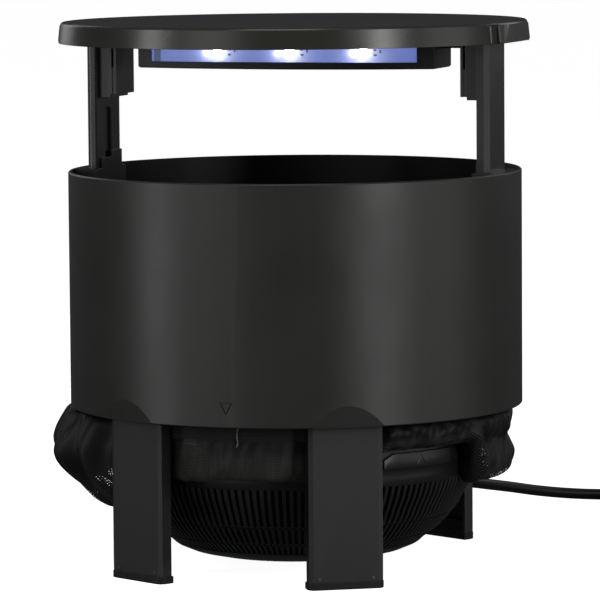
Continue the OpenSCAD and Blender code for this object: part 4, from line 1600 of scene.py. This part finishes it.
    def build(self) -> None:
        """Makes the tray's pieces."""
        settle(self.shell(), Body.TRAY, "tray_plastic", "catch_tray")
        settle(self.ribs(), Body.TRAY, "tray_plastic")
        settle(self.screen(), Body.TRAY, "tray_plastic")
        settle(self.tab(), Body.TRAY, "tray_plastic")


# ---- Fan ----


@dataclass
class FanRotor:
    """Seven-bladed rotor: each blade twists and curves from its hub to its tip."""

    blades: int = 7
    hub_r: float = 28.0
    tip_r: float = 90.0
    middle_z: float = 122.0
    tilt: Pair = (46.0, 29.0)
    chord: Pair = (29.0, 40.0)
    thick: Pair = (2.6, 1.3)
    camber: float = 3.0

    def blade(self) -> Draft:
        """Drafts one blade, reaching out along +X."""
        draft = Draft()
        rings = []
        for i in range(11):
            t = i / 10
            r = self.hub_r - 1.2 + (self.tip_r - 0.6 - self.hub_r + 1.2) * t
            tilt = math.radians(self.tilt[0] + (self.tilt[1] - self.tilt[0]) * t)
            chord = blend(*self.chord, math.sin(t * 1.9))
            thick = blend(*self.thick, t)
            ring = []
            for side in (1, -1):
                for k in range(9):
                    s = k / 8 if side > 0 else 1 - k / 8
                    along = (s - 0.5) * chord
                    arch = self.camber * (1 - (2 * s - 1) ** 2) - self.camber / 2
                    body = side * thick / 2 * math.sqrt(max(0.02, 1 - (2 * s - 1) ** 2))
                    y = along * math.cos(tilt) - (arch + body) * math.sin(tilt)
                    z = along * math.sin(tilt) + (arch + body) * math.cos(tilt)
                    inset = math.sqrt(max(0.0, r * r - y * y)) if i == 10 else r
                    ring.append((inset, y, self.middle_z + max(-11.8, min(11.8, z))))
            rings.append(ring)
        draft.loft(rings)
        return draft

    def build(self) -> None:
        """Makes the rotor of hub and blades."""
        draft = Draft()
        hub = [
            (0, 133), (20, 133), (25.5, 132.2), (27.4, 130.6), (28, 128), (28, 110), (25.6, 110),
            (25.6, 129.4), (8, 130), (6, 129), (6, 127), (2.5, 127), (2.5, 131.5), (0, 131.5),
        ]
        draft.turn(hub, 72)
        blade = self.blade()
        for i in range(self.blades):
            turn = Matrix.Rotation(math.tau * i / self.blades, 4, "Z")
            draft.add([tuple(turn @ Vector(p)) for p in blade.points], blade.faces)
        settle(draft.piece("fan_rotor", FAN_PP), Body.FAN, "impeller_plastic", "impeller")


# ---- Screws ----


@dataclass
class Screws:
    """Pan-head screws with a cross recess, set at the CAD model's places."""

    sides: int = 24
    cross_r: float = 1.25
    shank_r: float = 1.6
    leg_bearings: tuple[int, ...] = (30, 150, 210, 330)

    def template(self, up: bool = True) -> bpy.types.Object:
        """Makes one domed head with a cross recess and a stub of shank."""
        mesh = bmesh.new()
        dome = ((1.3, 1.96), (2.2, 1.7), (2.8, 1.15), (3.0, 0.55), (3.0, 0.0))
        rings = [[mesh.verts.new((x, y, z)) for x, y in circle(r, self.sides)] for r, z in dome]
        neighbours = list(zip(range(self.sides), [*range(1, self.sides), 0]))
        for upper, lower in zip(rings, rings[1:]):
            for k, n in neighbours:
                mesh.faces.new((upper[k], lower[k], lower[n], upper[n]))
        arms = []
        for k, (x, y) in enumerate(circle(self.cross_r, self.sides)):
            spread = 1.0 if k % 6 == 0 else 0.42
            arms.append(mesh.verts.new((x * spread, y * spread, 1.95)))
        deep = [mesh.verts.new((v.co.x * 0.72, v.co.y * 0.72, 0.9)) for v in arms]
        foot = [mesh.verts.new((x, y, 0)) for x, y in circle(self.shank_r, self.sides)]
        tip = [mesh.verts.new((v.co.x, v.co.y, -3.0)) for v in foot]
        for k, n in neighbours:
            mesh.faces.new((arms[k], rings[0][k], rings[0][n], arms[n]))
            mesh.faces.new((deep[k], arms[k], arms[n], deep[n]))
            mesh.faces.new((rings[-1][k], foot[k], foot[n], rings[-1][n]))
            mesh.faces.new((foot[k], tip[k], tip[n], foot[n]))
        mesh.faces.new(deep)
        mesh.faces.new(list(reversed(tip)))
        if not up:
            bmesh.ops.scale(mesh, vec=(1, 1, -1), verts=mesh.verts)
        bmesh.ops.scale(mesh, vec=(MM, MM, MM), verts=mesh.verts)
        return finished("screw", mesh, SCREW_ZINC, smooth_deg=40)

    def around(self, x: float, y: float, z: float) -> list[Point]:
        """Returns a point given at a front leg, turned to all four legs."""
        return [
            tuple(Matrix.Rotation(math.radians(a), 3, "Z") @ Vector((x, y, z)))
            for a in self.leg_bearings
        ]

    def build(self) -> None:
        """Sets the base's screws, heads up and heads down, and the roof's."""
        tree = RepeatTree(Repeat.POINTS)
        upright = [p for x in (-15, 15) for p in self.around(x, -120.2, 106.5)]
        upright += [(x, y, 166) for x, y in circle(135.5, 6)]
        upright += [(-31, 111, 106.5), (31, 111, 106.5)]
        hung = [
            (12 * math.cos(a), 12 * math.sin(a), 101)
            for a in (math.radians(45 + 90 * i) for i in range(4))
        ]
        roof = [(sx * 130.15, y, 335.8) for sx in (-1, 1) for y in (-15, 15)]
        roof += [(sx * 93.4, y, 335.8) for sx in (-1, 1) for y in (-14, 14)]
        base_nodes = ("leg_screws", "funnel_screws", "driver_screws")
        for name, points, up, body, nodes in (
            ("base_screw_heads", upright, True, Body.BASE, base_nodes),
            ("motor_screw_heads", hung, False, Body.BASE, ("spider_screws",)),
            ("roof_screw_heads", roof, True, Body.ROOF, ("roof_screws", "lamp_screws")),
        ):
            made = tree.bake(
                name, point_cloud("screw_places", points), self.template(up), SCREW_ZINC, Turn=2.4
            )
            settle(made, body, "steel_screw", *nodes)


# ---- Lamp details ----


@dataclass
class LampParts:
    """Diode packages and the small parts soldered beside them, on both boards."""

    pitch: float = 48.5
    board_y: float = 9.0
    diode_z: float = 326.4
    frame_half: float = 2.4
    frame_high: float = 1.2

    def packages(self, side: int) -> bpy.types.Object:
        """Makes one board's diodes: a square frame with a domed lens on each."""
        draft = Draft()
        for i in (-1, 0, 1):
            x = i * self.pitch
            base = [
                (x + sx * self.frame_half, side * self.board_y, self.diode_z + sz * self.frame_half)
                for sx, sz in ((-1, -1), (1, -1), (1, 1), (-1, 1))
            ]
            lip = [(px, side * (self.board_y + self.frame_high), pz) for px, _, pz in base]
            draft.loft([base, lip])
            rings = []
            for lift in range(5):
                a = math.radians(lift * 20)
                r = 2.1 * math.cos(a)
                y = side * (self.board_y + self.frame_high + 1.9 * math.sin(a))
                rings.append([(x + dx, y, self.diode_z + dz) for dx, dz in circle(r, 20)])
            draft.loft(rings)
        return draft.piece(f"diodes_{'front' if side < 0 else 'back'}", DIODE_LENS)

    def chips(self, side: int) -> bpy.types.Object:
        """Makes one board's resistors and capacitors, three beside each diode."""
        draft = Draft()
        out = side * self.board_y
        for i in (-1, 0, 1):
            for dx, dz, w, h in (
                (8.0, 1.0, 2.0, 1.2), (8.2, -2.2, 2.0, 1.2), (11.6, 0.2, 1.2, 2.0)
            ):
                x, z = i * self.pitch + dx, self.diode_z + dz
                draft.block(
                    (x - w / 2, min(out, out + side * 0.6), z - h / 2),
                    (x + w / 2, max(out, out + side * 0.6), z + h / 2),
                )
        return draft.piece(f"board_chips_{'front' if side < 0 else 'back'}", CHIP_CERAMIC, 0.1, 1)

    def build(self) -> None:
        """Makes the parts of both boards."""
        for side, word in ((-1, "front"), (1, "back")):
            settle(self.packages(side), Body.ROOF, "led_lens", f"leds_{word}")
            settle(self.chips(side), Body.ROOF, "board_white")


# ---- Mouldings carried over from the CAD model ----


@dataclass
class Mouldings:
    """Drum, roof, posts, legs and inner parts: softened copies, or CAD parts with a finish."""

    leg_edge: float = 0.4
    foot_edge: float = 0.9
    groove_turn: float = 15.8
    groove_half: float = 2.05
    roof_r: float = 150.2
    roof_low: float = 332.8
    roof_lean: float = 0.107

    def soften_outer(self) -> None:
        """Rounds the edges of the mouldings that show outside."""
        for node, finish, body, slot, edge in (
            ("drum_shell", DRUM_ABS, Body.BASE, "drum_plastic", 0.6),
            ("roof_cover", ROOF_ABS, Body.ROOF, "roof_plastic", 0.35),
            ("post_left", FRAME_ABS, Body.ROOF, "frame_plastic", 1.0),
            ("post_right", FRAME_ABS, Body.ROOF, "frame_plastic", 1.0),
            ("bracket_left", FRAME_ABS, Body.ROOF, "frame_plastic", 0.4),
            ("bracket_right", FRAME_ABS, Body.ROOF, "frame_plastic", 0.4),
            ("lamp_housing", INNER_ABS, Body.ROOF, "frame_plastic", 0.6),
            ("post_guide_left", FRAME_ABS, Body.BASE, "frame_plastic", 0.3),
            ("post_guide_right", FRAME_ABS, Body.BASE, "frame_plastic", 0.3),
        ):
            piece = softened(node, f"{node}_moulding", finish, edge)
            if node == "drum_shell":
                # Inward faces are painted nearly black as painted shade.
                refaced(piece, DRUM_INSIDE_SHADE_ABS, self.is_inward)
            settle(piece, body, slot)
        for place in ("front_right", "back_right", "back_left", "front_left"):
            leg = softened(f"leg_{place}", f"leg_{place}_moulding", LEG_ABS, self.leg_edge)
            # The sides of the legs get the painted shade.
            refaced(leg, LEG_SIDE_SHADE_ABS, self.is_sideways)
            settle(leg, Body.BASE, "leg_plastic")
            foot = softened(f"foot_{place}", f"foot_{place}_pad", FOOT_RUBBER, self.foot_edge)
            settle(foot, Body.BASE, "foot_rubber")

    @staticmethod
    def is_inward(centre: Vector, normal: Vector) -> bool:
        """Returns whether a face looks at the drum's axis."""
        return normal.xy.dot(centre.xy) < -0.5 * centre.xy.length

    @staticmethod
    def is_sideways(centre: Vector, normal: Vector) -> bool:
        """Returns whether a face looks along the drum's wall."""
        return abs(normal.xy.cross(centre.xy)) > 0.8 * centre.xy.length

    def ear_beads(self) -> bpy.types.Object:
        """Makes the pairs of slim beads that frame the roof's four flat grooves."""
        draft = Draft()
        swell = ((0.2, 333.2), (0.9, 333.6), (1.0, 334.6), (1.0, 343.2), (0.9, 344.0), (0.2, 344.4))
        for side, end, edge in product((-1, 1), (-1, 1), (-1, 1)):
            bearing = side * (90 - end * (self.groove_turn + end * edge * self.groove_half))
            r = 1.25 + 0.25 * edge
            rings = []
            for share, z in swell:
                face = self.roof_r - (z - self.roof_low) * self.roof_lean - 0.7 * r
                x, y, _ = bearing_point(bearing, face, z)
                rings.append([(x + dx, y + dy, z) for dx, dy in circle(r * share, 16)])
            draft.loft(rings)
        return draft.piece("roof_ear_beads", ROOF_ABS)

    def dress_inner(self) -> None:
        """Gives the CAD parts that stay as they are their finishes."""
        dress(INNER_ABS, "lower_deck", "inlet_funnel", "fan_guard", "motor_spider", "net_collar",
              "bayonet_ring", "driver_cover", "roof_underplate", "wire_duct", "lamp_spine")
        dress(MOTOR_STEEL, "motor")
        dress(SCREW_ZINC, "fan_shaft")
        dress(PEG_STEEL, "foot_pegs")
        dress(GREEN_MASK, "driver_board")
        dress(BOARD_MASK, "led_board_front", "led_board_back")
        dress(WINDOW_PC, "window_front", "window_back")

    def build(self) -> None:
        """Makes and dresses the mouldings."""
        self.soften_outer()
        settle(self.ear_beads(), Body.ROOF, "roof_plastic")
        self.dress_inner()


def main() -> None:
    """Builds the trap in order."""
    logging.basicConfig(level=logging.INFO, format="%(name)s: %(message)s")
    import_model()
    for part in (
        Studio, MainsCord, Mouldings, LampParts, CatchTray, CatchNet, FanRotor, Screws
    ):
        LOG.info("building %s", part.__name__)
        part().build()


if __name__ == "__main__":
    main()
